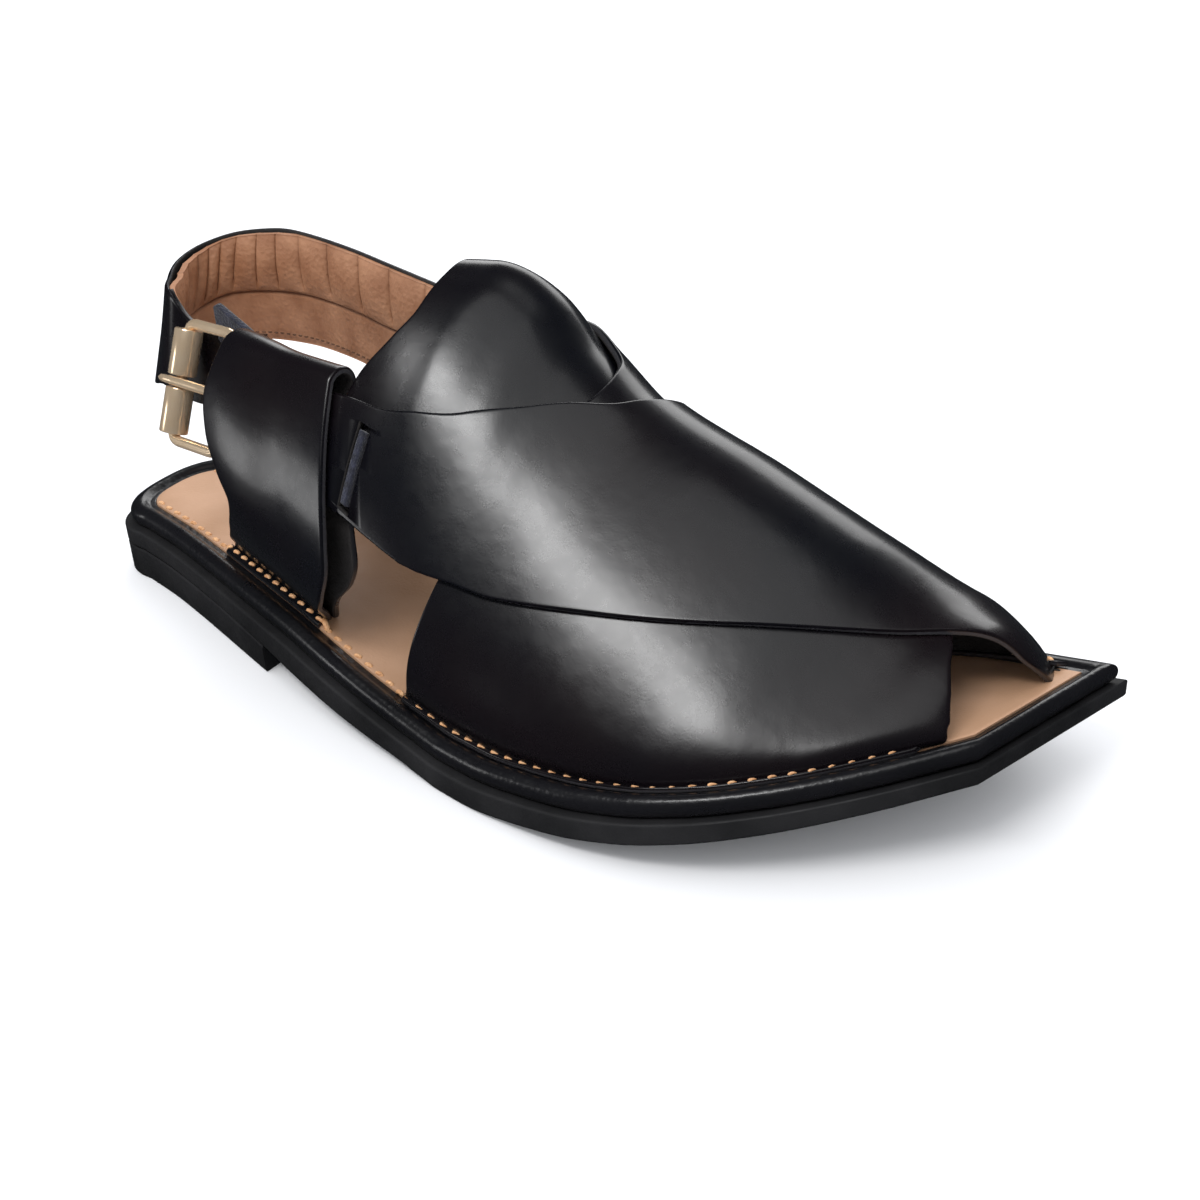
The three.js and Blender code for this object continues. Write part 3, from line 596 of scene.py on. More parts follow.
def off_last(s, t, distance):
    """The last set off along its normal, which is kept level at both bases."""
    s, t, distance = np.broadcast_arrays(s, t, distance)
    ahead = on_last(s + 0.6, t) - on_last(s - 0.6, t)
    rise = on_last(s, np.minimum(t + 0.004, 1)) - on_last(s, np.maximum(t - 0.004, 0))
    out = np.cross(ahead, rise)
    out /= np.linalg.norm(out, axis=-1, keepdims=True)
    out[..., 2] *= smooth(0, 0.03, np.minimum(t, 1 - t))
    out /= np.linalg.norm(out, axis=-1, keepdims=True)
    return on_last(s, t) + out * distance[..., None]


edge_marks = np.array([0, 0.12, 0.3, 0.55, 0.9, 1.5, 2.6])


def spaced(length, count):
    """Shares from 0 to 1 for each length: crowded within 2.6 mm of both ends."""
    length = np.maximum(np.asarray(length, float), 6.0)[..., None]
    start = edge_marks / length
    between = np.linspace(0, 1, count + 2)[1:-1]
    inner = start[..., -1:] + (1 - 2 * start[..., -1:]) * between
    return np.concatenate([start, inner, 1 - start[..., ::-1]], -1)


def panel(name, surface, thickness, rows, columns, materials, rounding=0.7, marks=None):
    """Leather panel: an outer and an inner grid of surface(u, v, offset), whose offset
    drops near the rim along a quarter circle, and a rim of cut edge between them."""
    coarse = np.linspace(0, 1, 41)
    uu, vv = np.meshgrid(coarse, coarse, indexing="ij")
    rough = surface(uu, vv, 0 * uu)
    length_v = np.linalg.norm(np.diff(rough, axis=1), axis=-1).sum(1)
    length_u = np.linalg.norm(np.diff(rough, axis=0), axis=-1).sum(0)
    total_v = columns + 2 * len(edge_marks)
    share_v = np.linspace(0, 1, total_v)
    u = spaced(np.interp(share_v, coarse, length_u), rows).T
    run_v = np.interp(u.mean(1), coarse, length_v)
    v = spaced(run_v, columns)
    run_u = np.interp(v, coarse, length_u)
    reach = np.minimum(np.minimum(u, 1 - u) * run_u, np.minimum(v, 1 - v) * run_v[:, None])
    near = np.clip(reach, 0, rounding)
    drop = rounding - np.sqrt(np.maximum(rounding**2 - (rounding - near)**2, 0))
    outer = surface(u, v, thickness - drop)
    inner = surface(u, v, 0.6 * drop)
    n_rows, n_columns = u.shape
    size = n_rows * n_columns
    faces_out = grid_faces(n_rows, n_columns)
    faces_in = grid_faces(n_rows, n_columns, size)[:, ::-1]
    index = np.arange(size).reshape(n_rows, n_columns)
    loop = np.concatenate([index[0, :-1], index[:-1, -1], index[-1, :0:-1], index[:0:-1, 0]])
    ahead = np.roll(loop, -1)
    rim = np.stack([ahead, loop, loop + size, ahead + size], -1)
    faces = np.concatenate([faces_out, faces_in, rim])
    points = np.concatenate([outer.reshape(-1, 3), inner.reshape(-1, 3)])
    mesh = mesh_from(name, points, faces.tolist(), 42)
    slots = np.zeros(len(faces), np.int32)
    slots[len(faces_out):len(faces_out) + len(faces_in)] = min(2, len(materials) - 1)
    slots[len(faces_out) + len(faces_in):] = min(1, len(materials) - 1)
    mesh.polygons.foreach_set("material_index", slots)
    volume = np.einsum("ij,ij->i", points[faces[:, 0]],
                       np.cross(points[faces[:, 1]], points[faces[:, 2]])
                       + np.cross(points[faces[:, 2]], points[faces[:, 3]])).sum()
    if volume < 0:
        mesh.flip_normals()
    if marks:
        label, value = marks
        attribute = mesh.attributes.new(label, "FLOAT", "POINT")
        shade = value(u, v).ravel()
        attribute.data.foreach_set("value", np.concatenate([shade, shade]).astype(np.float32))
    return add_object(name, mesh, materials)


def polished_leather(name, dark=(0.0022, 0.0025, 0.0046), light=(0.0054, 0.0029, 0.0040)):
    """Smooth glazed leather, slightly uneven at the scale of a fingertip."""
    material, nodes, links, shader = grained(name, dark, light, (0.25, 0.31), 0.04,
                                             pores=1500, pits=0.35, clouds=16)
    shader.inputs["Coat Weight"].default_value = 0.35
    shader.inputs["Coat Roughness"].default_value = 0.17
    waves = nodes.new("ShaderNodeTexNoise")
    waves.inputs["Scale"].default_value = 95
    waves.inputs["Detail"].default_value = 2
    where = nodes.new("ShaderNodeTexCoord")
    links.new(where.outputs["Object"], waves.inputs["Vector"])
    swell = nodes.new("ShaderNodeBump")
    swell.inputs["Strength"].default_value = 0.08
    swell.inputs["Distance"].default_value = 0.002
    links.new(waves.outputs["Fac"], swell.inputs["Height"])
    links.new(swell.outputs["Normal"], nodes["Bump"].inputs["Normal"])
    return material


black_leather = polished_leather("polished_black_leather")
# Cut edges: their own dark edge colour is raised lighter, so that a thin light line shows along the
# strap edges. That line is a painted highlight.
cut_edge_and_highlight, _, _, _ = grained(
    "cut_edge_with_painted_highlight", (0.018, 0.018, 0.021), (0.045, 0.043, 0.047), (0.25, 0.45), 0.4, pores=2200)
flesh_side, _, _, _ = grained(
    "dark_flesh_side", (0.016, 0.014, 0.014), (0.028, 0.024, 0.022), (0.8, 0.95), 0.7, pores=1600)


toe_drop = 10.5
edge_drop = 1.2


def strap_surface(edges, lift):
    """Between a strap's rear and front edges on the last. Its toe end is drawn down past
    the crown, as edge_drop and a half sine wave of toe_drop."""
    def surface(u, v, offset):
        s = sole_length * mix(column(edges, 1, u), column(edges, 3, u), v)
        t = mix(column(edges, 2, u), column(edges, 4, u), v)
        spot = off_last(s, t, offset + lift(s, t))
        at = s / sole_length
        spot[..., 2] -= smooth(0.875, 0.957, at) * (edge_drop * smooth(0.5, 0.8, t)
                                                  + toe_drop * np.sin(np.pi * smooth(0.5, 1.0, t)))
        return spot
    return surface


def top_lift(s, t):
    """The top strap stands one leather higher where it lies over the under strap."""
    at = s / sole_length
    return ((leather + 0.15) * (1 - smooth(0.7, 0.88, t)) * smooth(0.44, 0.53, at)
            * (1 - smooth(0.92, 0.968, at)))


under_strap = panel("under_strap", strap_surface(under_strap_edges, lambda s, t: 0 * s),
                    leather, 90, 60, [black_leather, cut_edge_and_highlight, flesh_side])
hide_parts("upper")
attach(under_strap, "root")
top_strap = panel("top_strap", strap_surface(top_strap_edges, top_lift),
                  leather, 90, 60, [black_leather, cut_edge_and_highlight, flesh_side])

slit_at = 0.421
slit_turns = (0.248, 0.322)


def slit_surface(half_width, depth):
    """A strip of the last's set-off across slit_turns, to cut the slit with."""
    def surface(u, v, offset):
        s = slit_at * sole_length + half_width * (2 * u - 1)
        return off_last(s, mix(*slit_turns, v), offset - depth)
    return surface


slit_cutter = panel("slit_cutter", slit_surface(2.0, 4), 9, 4, 12, [flesh_side], rounding=0.05)
cut = top_strap.modifiers.new("slit", "BOOLEAN")
cut.operation = "DIFFERENCE"
cut.solver = "EXACT"
cut.object = slit_cutter
bpy.context.view_layer.update()
cut_mesh = bpy.data.meshes.new_from_object(top_strap.evaluated_get(
    bpy.context.evaluated_depsgraph_get()))
top_strap.modifiers.clear()
top_strap.data = cut_mesh
bpy.data.objects.remove(slit_cutter)
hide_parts("upper")
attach(top_strap, "root")


def foot_surface(side, start, end, reach):
    """Foot of a piece, turned outward: it slopes from the insole's level down to the
    strip, which it meets at the inset given as reach."""
    def surface(u, v, offset):
        s = sole_length * mix(start, end, u)
        base = insole_top(s) + clearance + smooth(0.8, 0.96, s / sole_length)
        height = mix(base, crest(s) - 1.2, v)
        return place_at(s, side_edge(s, side, mix(base_inset, reach, v)), height + offset)
    return surface


for name, side in (("under_strap_foot", "outer"), ("top_strap_foot", "inner")):
    foot = panel(name, foot_surface(side, strap_starts[side], strap_toe, strap_reach), 1.5, 80, 2,
                 [black_leather, cut_edge_and_highlight, flesh_side], rounding=0.5)
    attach(foot, "root")


# Tongue: a rounded flap of the same leather under both straps, domed over the instep.
tongue_edge = np.array([
    (0.325, 0.380),
    (0.36, 0.390),
    (0.395, 0.406),
    (0.432, 0.418),
    (0.515, 0.421),
    (0.60, 0.435),
    (0.645, 0.462),
])


def tongue_surface(u, v, offset):
    """Under both straps, from the rear edge table to the station 0.640, with a dome."""
    t = mix(tongue_edge[0, 0], tongue_edge[-1, 0], u)
    at = mix(column(tongue_edge, 1, t), 0.640, v)
    dome = 2.3 * smooth(0.48, 0.55, t) * (1 - smooth(0.59, 0.645, t)) * (1 - smooth(0.48, 0.56, at))
    return off_last(at * sole_length, t, offset - 1.7 * ease - leather + dome)


tongue = panel("tongue_flap", tongue_surface, leather, 70, 50,
               [black_leather, cut_edge_and_highlight, flesh_side])
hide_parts("tongue")
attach(tongue, "root")


# Side loops: a sheet of leather folded over at the top, both its ends sewn down at the
# insole's edge. The outer loop opens at the rear for the buckle.
loop_edges = np.array([
    (0.00, 0.188, 0.358),
    (0.07, 0.236, 0.384),
    (0.13, 0.270, 0.408),
    (0.18, 0.286, 0.418),
    (0.21, 0.271, 0.414),
    (0.25, 0.251, 0.404),
    (0.30, 0.239, 0.390),
    (0.36, 0.244, 0.376),
])
gap_outer = leather + 2 * ease
gap_inner = -leather - 3 * ease
mouth = 1.7
base_draw = 2.4
fold_fall = 0.009


def loop_gap(side, t, v):
    """Offsets of the two faces of the space inside the loop."""
    opened = smooth(0, 0.14, t)
    if side == "outer":
        wide = mouth * (1 - smooth(0, 0.6, v)) * smooth(0.1, 0.2, t)
        return opened * gap_outer + wide + 0.2, opened * gap_inner - wide - 0.2
    return opened * gap_outer * smooth(0.4, 0.78, v) + 0.2, 0 * v - ease


def loop_surface(side, top):
    """u runs up the outer layer, round the fold between 0.42 and 0.58, and down."""
    sign = 1 if side == "outer" else -1

    def surface(u, v, offset):
        bend = np.clip((u - 0.42) / 0.16, 0, 1) * math.pi
        fold = top - fold_fall * smooth(0.3, 1, v)
        climb = fold * np.minimum(np.minimum(u, 1 - u) / 0.42, 1)
        s = sole_length * mix(column(loop_edges, 1, climb), column(loop_edges, 2, climb), v)
        t = climb if side == "outer" else 1 - climb
        high, low = loop_gap(side, climb, v)
        middle = (high + low) / 2 - base_draw * (1 - smooth(0, 0.1, climb))
        radius = (high - low) / 2 + offset
        centre = off_last(s, t, middle)
        rise = off_last(s, t + 0.01 * sign, middle) - centre
        rise /= np.linalg.norm(rise, axis=-1, keepdims=True)
        out = off_last(s, t, middle + radius * np.cos(bend))
        return out + rise * (radius * np.sin(bend))[..., None]
    return surface


for name, node, side, top in (("outer_side_loop", "outer_loop", "outer", 0.350),
                              ("inner_side_loop", "inner_loop", "inner", 0.280)):
    loop = panel(name, loop_surface(side, top), leather, 150, 44,
                 [black_leather, cut_edge_and_highlight, flesh_side])
    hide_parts(node)
    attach(loop, "root")
    foot = panel(name + "_foot", foot_surface(side, *loop_span, loop_reach), 1.5, 60, 2,
                 [black_leather, cut_edge_and_highlight, flesh_side], rounding=0.5)
    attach(foot, "root")


# Heel strap: a black outer band with its top edge folded over, a tan lining whose upper
# half is padded and gathered into pleats, and a thin raw-edged tip at the buckle.
heel_line = np.array([
    # at, low x, low y, low z, high x, high y, high z
    (0.00, 0.267, -0.050, 0.681, 0.270, 0.000, 0.800),
    (0.08, 0.221, -0.094, 0.615, 0.225, -0.030, 0.785),
    (0.16, 0.174, -0.126, 0.605, 0.176, -0.064, 0.787),
    (0.20, 0.152, -0.127, 0.612, 0.158, -0.071, 0.800),
    (0.24, 0.131, -0.122, 0.625, 0.140, -0.076, 0.857),
    (0.33, 0.092, -0.060, 0.590, 0.100, 0.038, 0.862),
    (0.41, 0.056, 0.050, 0.545, 0.075, 0.142, 0.862),
    (0.48, 0.044, 0.165, 0.550, 0.071, 0.231, 0.870),
    (0.56, 0.060, 0.273, 0.574, 0.092, 0.292, 0.892),
    (0.64, 0.112, 0.325, 0.594, 0.129, 0.320, 0.911),
    (0.73, 0.174, 0.332, 0.604, 0.174, 0.326, 0.922),
    (0.82, 0.244, 0.304, 0.606, 0.244, 0.297, 0.922),
    (0.91, 0.311, 0.270, 0.590, 0.311, 0.265, 0.912),
    (1.00, 0.376, 0.240, 0.596, 0.376, 0.236, 0.900),
])
padding = 4.0


def heel_spot(u, v):
    sizes = (sole_length, ball_width, instep_height)
    low = [column(heel_line, 1 + k, u, True) * sizes[k] for k in range(3)]
    high = [column(heel_line, 4 + k, u, True) * sizes[k] for k in range(3)]
    return np.stack([mix(low[k], high[k], v) for k in range(3)], -1)


def heel_surface(u, v, offset):
    """Band between its lower and upper edge lines, set off square to its own run."""
    ahead = heel_spot(np.minimum(u + 0.012, 1), v) - heel_spot(np.maximum(u - 0.012, 0), v)
    out = np.cross(np.array([0.0, 0.0, 1.0]), ahead)
    out /= np.linalg.norm(out, axis=-1, keepdims=True)
    return heel_spot(u, v) + out * offset[..., None]


def heel_half(u):
    return mix(leather, padding, smooth(0.24, 0.34, u) * (1 - smooth(0.66, 0.76, u))) / 2


suede_edge, _, _, suede_shader = grained(
    "raw_blue_suede_edge", (0.005, 0.006, 0.014), (0.018, 0.020, 0.040), (0.85, 1.0), 1.0,
    pores=1800, clouds=600)
suede_shader.inputs["Sheen Weight"].default_value = 0.25

band = panel("heel_band", lambda u, v, offset: heel_surface(
    mix(0.20, 1.0, u), v, offset + heel_half(mix(0.20, 1.0, u)) - 1.4), 1.4, 170, 30,
    [black_leather, cut_edge_and_highlight, flesh_side])
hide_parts("heel_strap")
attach(band, "root")

lining_leather, lining_nodes, lining_links, lining_shader = grained(
    "tan_lining_leather", (0.30, 0.130, 0.062), (0.42, 0.205, 0.108), (0.5, 0.65), 0.9,
    pores=700, pits=0.7, clouds=110)
# The lining is darkened towards deep brown through the crease attribute. In the pleat creases this
# is painted shade. Along the mid seam it is partly a dark seam line and partly painted shade.
crease_shade_mark = lining_nodes.new("ShaderNodeAttribute")
crease_shade_mark.attribute_name = "crease"
painted_crease_shade = lining_nodes.new("ShaderNodeMix")
painted_crease_shade.data_type = "RGBA"
painted_crease_shade.inputs["B"].default_value = (0.085, 0.030, 0.014, 1)
lining_links.new(crease_shade_mark.outputs["Fac"], painted_crease_shade.inputs["Factor"])
lining_links.new(lining_nodes["Mix"].outputs["Result"], painted_crease_shade.inputs["A"])
lining_links.new(painted_crease_shade.outputs["Result"], lining_shader.inputs["Base Color"])
pleats = np.array([
    0.30, 0.345, 0.395, 0.445, 0.49, 0.535, 0.58, 0.63, 0.68, 0.735, 0.79, 0.85, 0.91, 0.98])
lining_seam = 0.46


def lining_share(u, v):
    return mix(0.23, 0.995, u), 0.012 + 0.968 * v


def pleat_depth(u, v):
    """1 on a pleat and 0 half way to the next, as 1 - (4w(1 - w)) to the 0.3, and fading
    from the top edge down to the mid seam."""
    slot = np.clip(np.searchsorted(pleats, u) - 1, 0, len(pleats) - 2)
    w = np.clip((u - pleats[slot]) / (pleats[slot + 1] - pleats[slot]), 0, 1)
    inside = (u > pleats[0]) & (u < pleats[-1])
    return inside * (1 - (4 * w * (1 - w))**0.3) * smooth(lining_seam - 0.01, lining_seam + 0.12, v)


def seam_depth(v):
    """A bell curve across the mid seam."""
    return np.exp(-((v - lining_seam) / 0.016)**2)


def lining_surface(u, v, offset):
    """Inner face: the upper half swells as a low dome between the mid seam and the top
    edge, drawn in at each pleat and along the seam."""
    u, v = lining_share(u, v)
    above_seam = np.clip((v - lining_seam) / (0.985 - lining_seam), 0, 1)
    swell = 2.2 * np.sin(np.pi * above_seam**0.8)**0.7
    crease = pleat_depth(u, v)
    puff = swell * (1 - 0.8 * crease) - 0.5 * crease - 0.6 * seam_depth(v)
    low = -heel_half(u) - 0.1
    return heel_surface(u, v, low - puff * smooth(0.24, 0.34, u) - offset)


# Amount of painted shade on the lining: strongest in the pleat creases, and along the mid seam,
# where it is partly a dark seam line.
def painted_crease_shade_amount(u, v):
    u, v = lining_share(u, v)
    return np.clip(0.85 * smooth(0.45, 1.0, pleat_depth(u, v)) + 0.75 * seam_depth(v)**2, 0, 1)


lining = panel("heel_lining", lining_surface, -1.0, 700, 70, [lining_leather], rounding=0.4,
               marks=("crease", painted_crease_shade_amount))
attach(lining, "root")

tip = panel("heel_strap_tip", lambda u, v, offset: heel_surface(
    mix(0.06, 0.26, u), v, offset - leather / 2), leather, 60, 30,
    [black_leather, black_leather, flesh_side], rounding=0.4)
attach(tip, "root")


def tip_surface(u, v, offset):
    """Raw end of the strap standing above the loop's fold: a flat strip whose top edge
    falls towards the toe."""
    x = mix(54.8, 68.0, u)
    top = 94.6 - 0.48 * (x - 54.8) - 1.6 * np.clip(1 - u / 0.14, 0, 1)**2
    return np.stack([x + 0 * v, -5.2 - 0.05 * (x - 54.8) + offset - leather + 0 * v,
                     mix(80.0, top, v)], -1)


strap_end = panel("heel_strap_end", tip_surface, leather, 20, 20,
                  [black_leather, suede_edge, suede_edge], rounding=0.3)
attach(strap_end, "root")


# Buckle: a wire frame with a split roller on its rear bar and a prong hinged on its front
# bar, all in polished pale gold. The buckle strap is folded round the front bar.
roller_middle = np.array([49.6203, -18.3585, 74.4902])
along_strap = np.array([0.98928, -0.13159, 0.06324])
across_strap = np.array([0.14599, 0.89564, -0.42014])
upright = np.array([-0.00135, 0.42487, 0.90525])
roller_radius = 3.9
roller_height = 28.6
roller_split = 3.4
wire_radius = 1.5
frame_reach = 20.0


def seated(points):
    """From the buckle's own frame (along, across, up) to the shoe's."""
    return roller_middle + points @ np.stack([along_strap, across_strap, upright])


gold, _, _, gold_shader = grained(
    "pale_gold", (0.95, 0.72, 0.48), (0.98, 0.77, 0.54), (0.17, 0.21), 0.002,
    pores=3000, clouds=200)
gold_shader.inputs["Metallic"].default_value = 0.75


def tube(name, path, radius, sides, materials, section):
    """Section carried along a closed path of points in the buckle's frame, whose plane
    is across = 0: the section's sides stand across and square to the run."""
    ahead = np.roll(path, -1, 0) - np.roll(path, 1, 0)
    ahead /= np.linalg.norm(ahead, axis=1, keepdims=True)
    side = np.array([0.0, 1.0, 0.0])
    up = np.cross(ahead, side)
    up /= np.linalg.norm(up, axis=1, keepdims=True)
    angle = np.arange(sides) / sides * 2 * math.pi
    shape = section(angle)
    ring = ((side * (np.cos(angle) * shape)[:, None])[None]
            + up[:, None] * (np.sin(angle) * shape)[None, :, None])
    points = path[:, None] + ring * radius
    last_ring = (len(path) - 1) * sides
    faces = grid_faces(len(path), sides, wrap=True).tolist()
    faces += [[last_ring + k, last_ring + (k + 1) % sides, (k + 1) % sides, k]
              for k in range(sides)]
    mesh = mesh_from(name, seated(points.reshape(-1, 3)), faces)
    return add_object(name, mesh, materials)


def rounded_corner(corner, before, after, reach, count=9):
    """Quadratic curve round a corner, starting and ending a distance from it."""
    start = corner + (before - corner) / np.linalg.norm(before - corner) * reach
    end = corner + (after - corner) / np.linalg.norm(after - corner) * reach
    t = np.linspace(0, 1, count)[:, None]
    return (1 - t)**2 * start + 2 * t * (1 - t) * corner + t**2 * end


half_frame = roller_height / 2 + clearance + wire_radius
frame_corners = np.array([
    (0, 0, -half_frame), (frame_reach, 0, -half_frame),
    (frame_reach, 0, half_frame), (0, 0, half_frame)], float)
frame_path = np.concatenate([
    rounded_corner(frame_corners[i], frame_corners[i - 1], frame_corners[(i + 1) % 4], 3.4)
    for i in range(4)])
buckle = tube("gold_frame", frame_path, wire_radius, 28, [gold],
              section=lambda a: 1.0 - 0.13 * np.exp(-((np.abs(np.sin(a))) / 0.25)**2)
              * (np.cos(a) < 0))
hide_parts("buckle_frame")
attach(buckle, "root")


def lathe(name, profile_points, sides, materials):
    """Closed profile of (radius, up) turned round the rear bar."""
    angle = np.arange(sides) / sides * 2 * math.pi
    radius, up = np.array(profile_points, float).T
    points = np.stack([radius[:, None] * np.cos(angle), radius[:, None] * np.sin(angle),
                       np.broadcast_to(up[:, None], (len(up), sides))], -1)
    rows = len(up)
    faces = grid_faces(rows, sides, wrap=True).tolist()
    faces += [[(rows - 1) * sides + k, (rows - 1) * sides + (k + 1) % sides, (k + 1) % sides, k]
              for k in range(sides)]
    mesh = mesh_from(name, seated(points.reshape(-1, 3)), faces)
    return add_object(name, mesh, materials)


half_roller = (roller_height - roller_split) / 2
for name, node, low in (("lower_roller", "roller_low", -roller_height / 2),
                        ("upper_roller", "roller_high", roller_height / 2 - half_roller)):
    high = low + half_roller
    roller = lathe(name, [
        (1.8, low + 0.2), (2.0, low), (3.55, low), (3.8, low + 0.1), (3.9, low + 0.35),
        (3.9, high - 0.35), (3.8, high - 0.1), (3.55, high), (2.0, high), (1.8, high - 0.2),
    ], 48, [gold])
    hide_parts(node)
    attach(roller, "root")

prong_run = np.array([
    (frame_reach + 3.0, 0.2), (frame_reach + 2.0, -2.2), (frame_reach - 0.5, -3.0),
    (frame_reach - 3.5, -2.7), (frame_reach - 8, -2.6), (7, -2.7), (3, -2.8),
    (0, -2.9), (-3.2, -3.1), (-5.6, -3.2)])
run = np.linspace(0, 1, 60)
knots = np.linspace(0, 1, len(prong_run))
prong_path = np.stack([np.interp(run, knots, prong_run[:, 0]),
                       np.interp(run, knots, prong_run[:, 1]), 0 * run], -1)


def prong_tube():
    """Flattened rod along the prong's run, tapered towards its tip."""
    ahead = np.gradient(prong_path, axis=0)
    ahead /= np.linalg.norm(ahead, axis=1, keepdims=True)
    side = np.array([0.0, 0.0, 1.0])
    up = np.cross(side, ahead)
    angle = np.arange(20) / 20 * 2 * math.pi
    width = np.interp(run, [0, 0.8, 0.97, 1], [1.35, 1.25, 0.95, 0.4])
    depth = np.interp(run, [0, 0.9, 1], [0.95, 0.85, 0.4])
    points = (prong_path[:, None] + side * (np.cos(angle)[None] * width[:, None])[..., None]
              + up[:, None] * (np.sin(angle)[None] * depth[:, None])[..., None])
    faces = grid_faces(len(run), 20, wrap=True).tolist()
    faces += [list(range(20))[::-1], [(len(run) - 1) * 20 + k for k in range(20)]]
    return mesh_from("prong_rod", seated(points.reshape(-1, 3)), faces)


prong = add_object("prong_rod", prong_tube(), [gold])
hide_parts("prong")
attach(prong, "root")


def chape_turn(u, v):
    """Turn on the last, straight across and narrowing towards the slit."""
    return mix(mix(0.232, 0.248, u), mix(0.330, 0.322, u), v)


def chape_surface(u, v, offset):
    """Flat run inside the outer loop, from behind the front bar to the slit."""
    s = mix(76.4, slit_at * sole_length + 1, u)
    return off_last(s, chape_turn(u, v), offset - 1.6 * ease - leather)


chape = panel("buckle_strap_run", chape_surface, leather, 40, 16,
              [black_leather, suede_edge, flesh_side], rounding=0.4)
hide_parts("buckle_strap")
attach(chape, "root")


def wrap_surface(low, high):
    """Fold round the front bar: most of a circle of leather, then a flat tail."""
    def surface(u, v, offset):
        angle = np.pi * (2.75 - 1.5 * u)
        radius = wire_radius + clearance + offset
        points = np.stack([frame_reach - radius * np.cos(angle - np.pi),
                           radius * np.sin(angle - np.pi),
                           mix(low, high, v)], -1)
        return seated(points)
    return surface


for name, low, high in (("lower_fold", -11.3, -1.8), ("upper_fold", 1.8, 11.3)):
    fold = panel(name, wrap_surface(low, high), 1.3, 40, 14, [black_leather, suede_edge],
                 rounding=0.4)
    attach(fold, "root")


def tab_surface(u, v, offset):
    """The buckle strap's raw end, standing in the slit."""
    s = slit_at * sole_length + mix(-0.95, 0.85, u)
    return off_last(s, mix(0.254, 0.317, v), offset - 0.8)


tab = panel("buckle_strap_end", tab_surface, 3.4, 4, 40, [suede_edge], rounding=0.4)
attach(tab, "root")


# Stitching: waxed copper-coloured thread, each stitch a short bead sunk at both ends, in
# one row round the insole's edge, over the feet of the loops and straps.
thread, _, _, _ = grained(
    "copper_thread", (0.62, 0.30, 0.13), (0.88, 0.52, 0.27), (0.25, 0.4), 0.5,
    pores=2500, clouds=900)


brown_thread, _, _, _ = grained(
    "brown_thread", (0.10, 0.045, 0.022), (0.17, 0.085, 0.045), (0.5, 0.7), 0.6,
    pores=2500, clouds=900)


def bead(count_round=10, count_along=9):
    """Unit stitch: half circle rows along x from -1 to 1 with a rounded, arched form."""
    t = np.linspace(-1, 1, count_along)
    angle = np.arange(count_round) / count_round * 2 * math.pi
    radius = np.sqrt(np.maximum(1 - t**4, 0.02))
    arch = -0.7 * t**2
    return np.stack([np.broadcast_to(t[:, None], (count_along, count_round)),
                     radius[:, None] * np.cos(angle),
                     radius[:, None] * np.sin(angle) + arch[:, None]], -1)


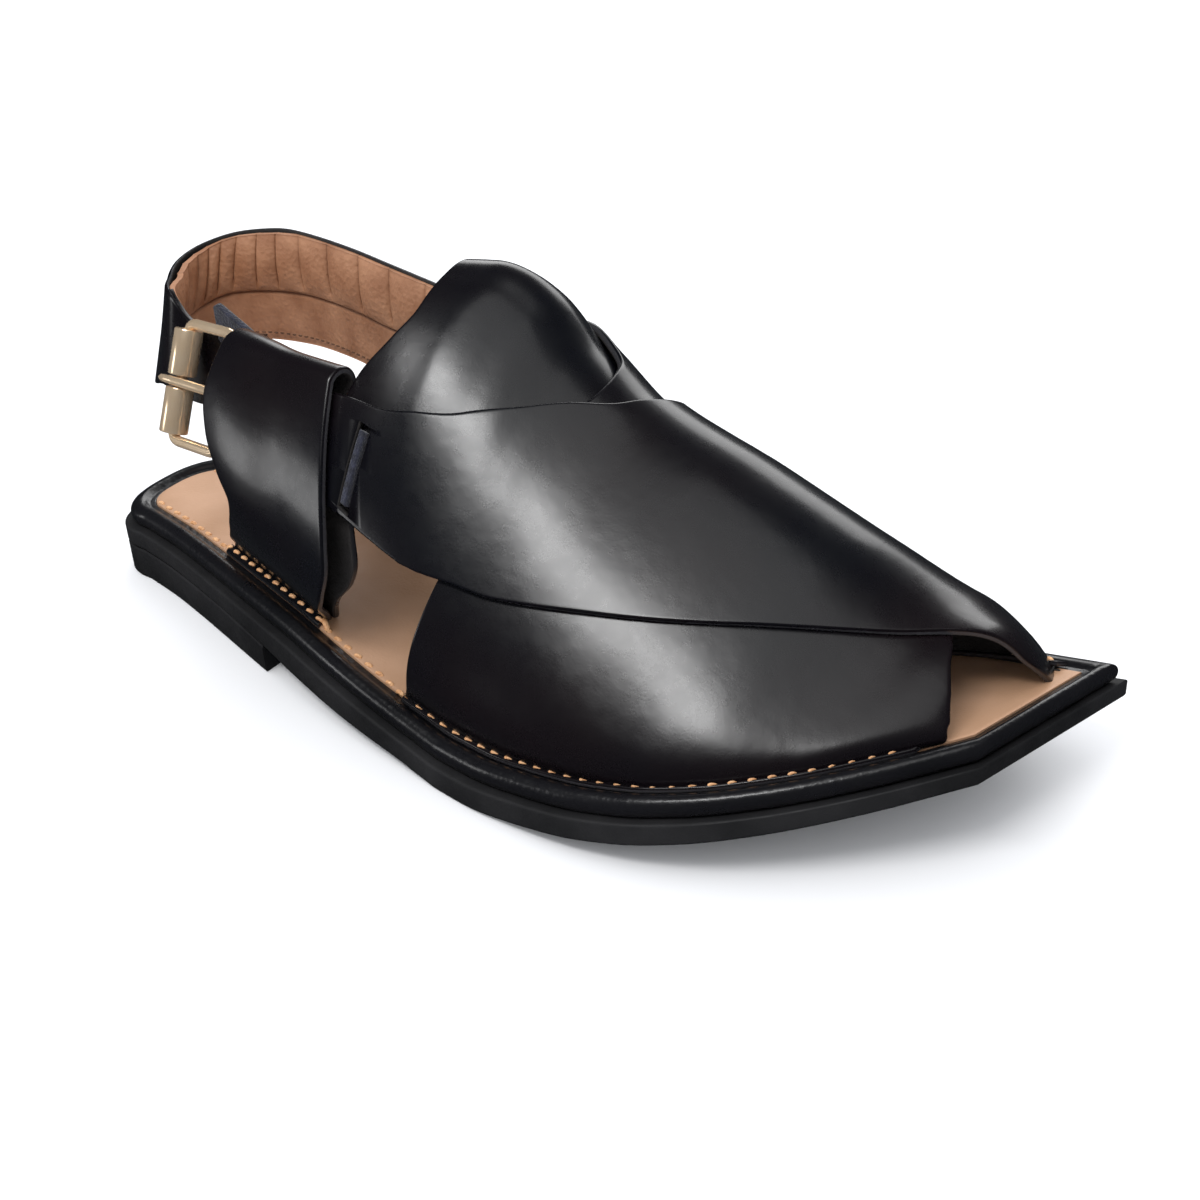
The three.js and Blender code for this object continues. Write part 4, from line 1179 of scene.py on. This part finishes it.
def stitch_row(name, path, normal, pitch, length, radius, lean=0.0, materials=(thread,)):
    """Beads at even steps along a path of points, each set on its surface normal."""
    steps = np.linalg.norm(np.diff(path, axis=0), axis=1)
    run_length = np.concatenate([[0], np.cumsum(steps)])
    at = np.arange(0.5 * pitch, run_length[-1], pitch)
    spot = np.stack([np.interp(at, run_length, path[:, k]) for k in range(3)], -1)
    ahead = np.stack([np.interp(at + 0.5, run_length, path[:, k])
                      - np.interp(at - 0.5, run_length, path[:, k]) for k in range(3)], -1)
    up = np.stack([np.interp(at, run_length, normal[:, k]) for k in range(3)], -1)
    ahead /= np.linalg.norm(ahead, axis=1, keepdims=True)
    side = np.cross(up, ahead)
    side /= np.linalg.norm(side, axis=1, keepdims=True)
    up = np.cross(ahead, side)
    leaning = ahead * math.cos(lean) + side * math.sin(lean)
    crossing = side * math.cos(lean) - ahead * math.sin(lean)
    unit = bead()
    points = (spot[:, None, None]
              + leaning[:, None, None] * (unit[None, ..., 0:1] * length / 2)
              + crossing[:, None, None] * (unit[None, ..., 1:2] * radius)
              + up[:, None, None] * (unit[None, ..., 2:3] * radius))
    rows, columns = unit.shape[:2]
    one = np.array(grid_faces(rows, columns, wrap=True))
    count = len(at)
    faces = (one[None] + (np.arange(count) * rows * columns)[:, None, None]).reshape(-1, 4).tolist()
    for k in range(count):
        start = k * rows * columns
        faces.append([start + i for i in range(columns)][::-1])
        faces.append([start + (rows - 1) * columns + i for i in range(columns)])
    mesh = mesh_from(name, points.reshape(-1, 3), faces, 80)
    return add_object(name, mesh, materials)


def edge_path(side, start, end, count=600):
    """Seam line on the insole's edge, 9.9 mm in, which moves out to 8.4 mm in along the
    strap's foot and climbs on to each foot."""
    at = np.linspace(start, end, count)
    s = sole_length * at
    strap_start = strap_starts[side]
    inset = mix(9.9, 8.4, smooth(strap_start - 0.05, strap_start + 0.03, at))
    foot = np.zeros_like(s)
    for low, high in (loop_span, (strap_start, strap_toe)):
        foot = np.maximum(foot, smooth(low - 0.004, low + 0.002, at)
                          * (1 - smooth(high - 0.002, high + 0.004, at)))
    reach = np.where(at > 0.42, strap_reach, loop_reach)
    base = insole_top(s) + clearance + smooth(0.8, 0.96, at)
    share = (base_inset - inset) / (base_inset - reach)
    on_foot = mix(base, crest(s) - 1.2, share) + 1.5
    return place_at(s, outline_y(s, side, inset), mix(insole_top(s), on_foot, foot) + 0.1)


for name, side in (("outer_edge_stitches", "outer"), ("inner_edge_stitches", "inner")):
    path = edge_path(side, 0.045, 0.950)
    stitches = stitch_row(name, path, np.tile([0.0, 0.0, 1.0], (len(path), 1)), 4.6, 2.9, 0.6,
                          lean=0.22)
    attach(stitches, "root")


end_s = sole_length * np.array([0.3575, 0.3735])
end_path = place_at(end_s, side_edge(end_s, "outer", np.array([10.7, 9.2])),
                    insole_top(end_s) + np.array([1.9, 0.2]))
end_stitch = stitch_row("loop_end_stitch", end_path, np.tile([0.0, 0.0, 1.0], (2, 1)),
                        4.8, 5.0, 0.8)
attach(end_stitch, "root")

seam_u = np.linspace(0.34, 0.97, 500)
seam_height = 0.085 + 0 * seam_u
row = heel_surface(seam_u, seam_height, -heel_half(seam_u) - 1.15)
inward = heel_surface(seam_u, seam_height, -heel_half(seam_u) - 2.15) - row
lining_stitches = stitch_row("lining_lower_stitches", row, inward, 2.3, 1.5, 0.28,
                             materials=(brown_thread,))
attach(lining_stitches, "root")


low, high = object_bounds()
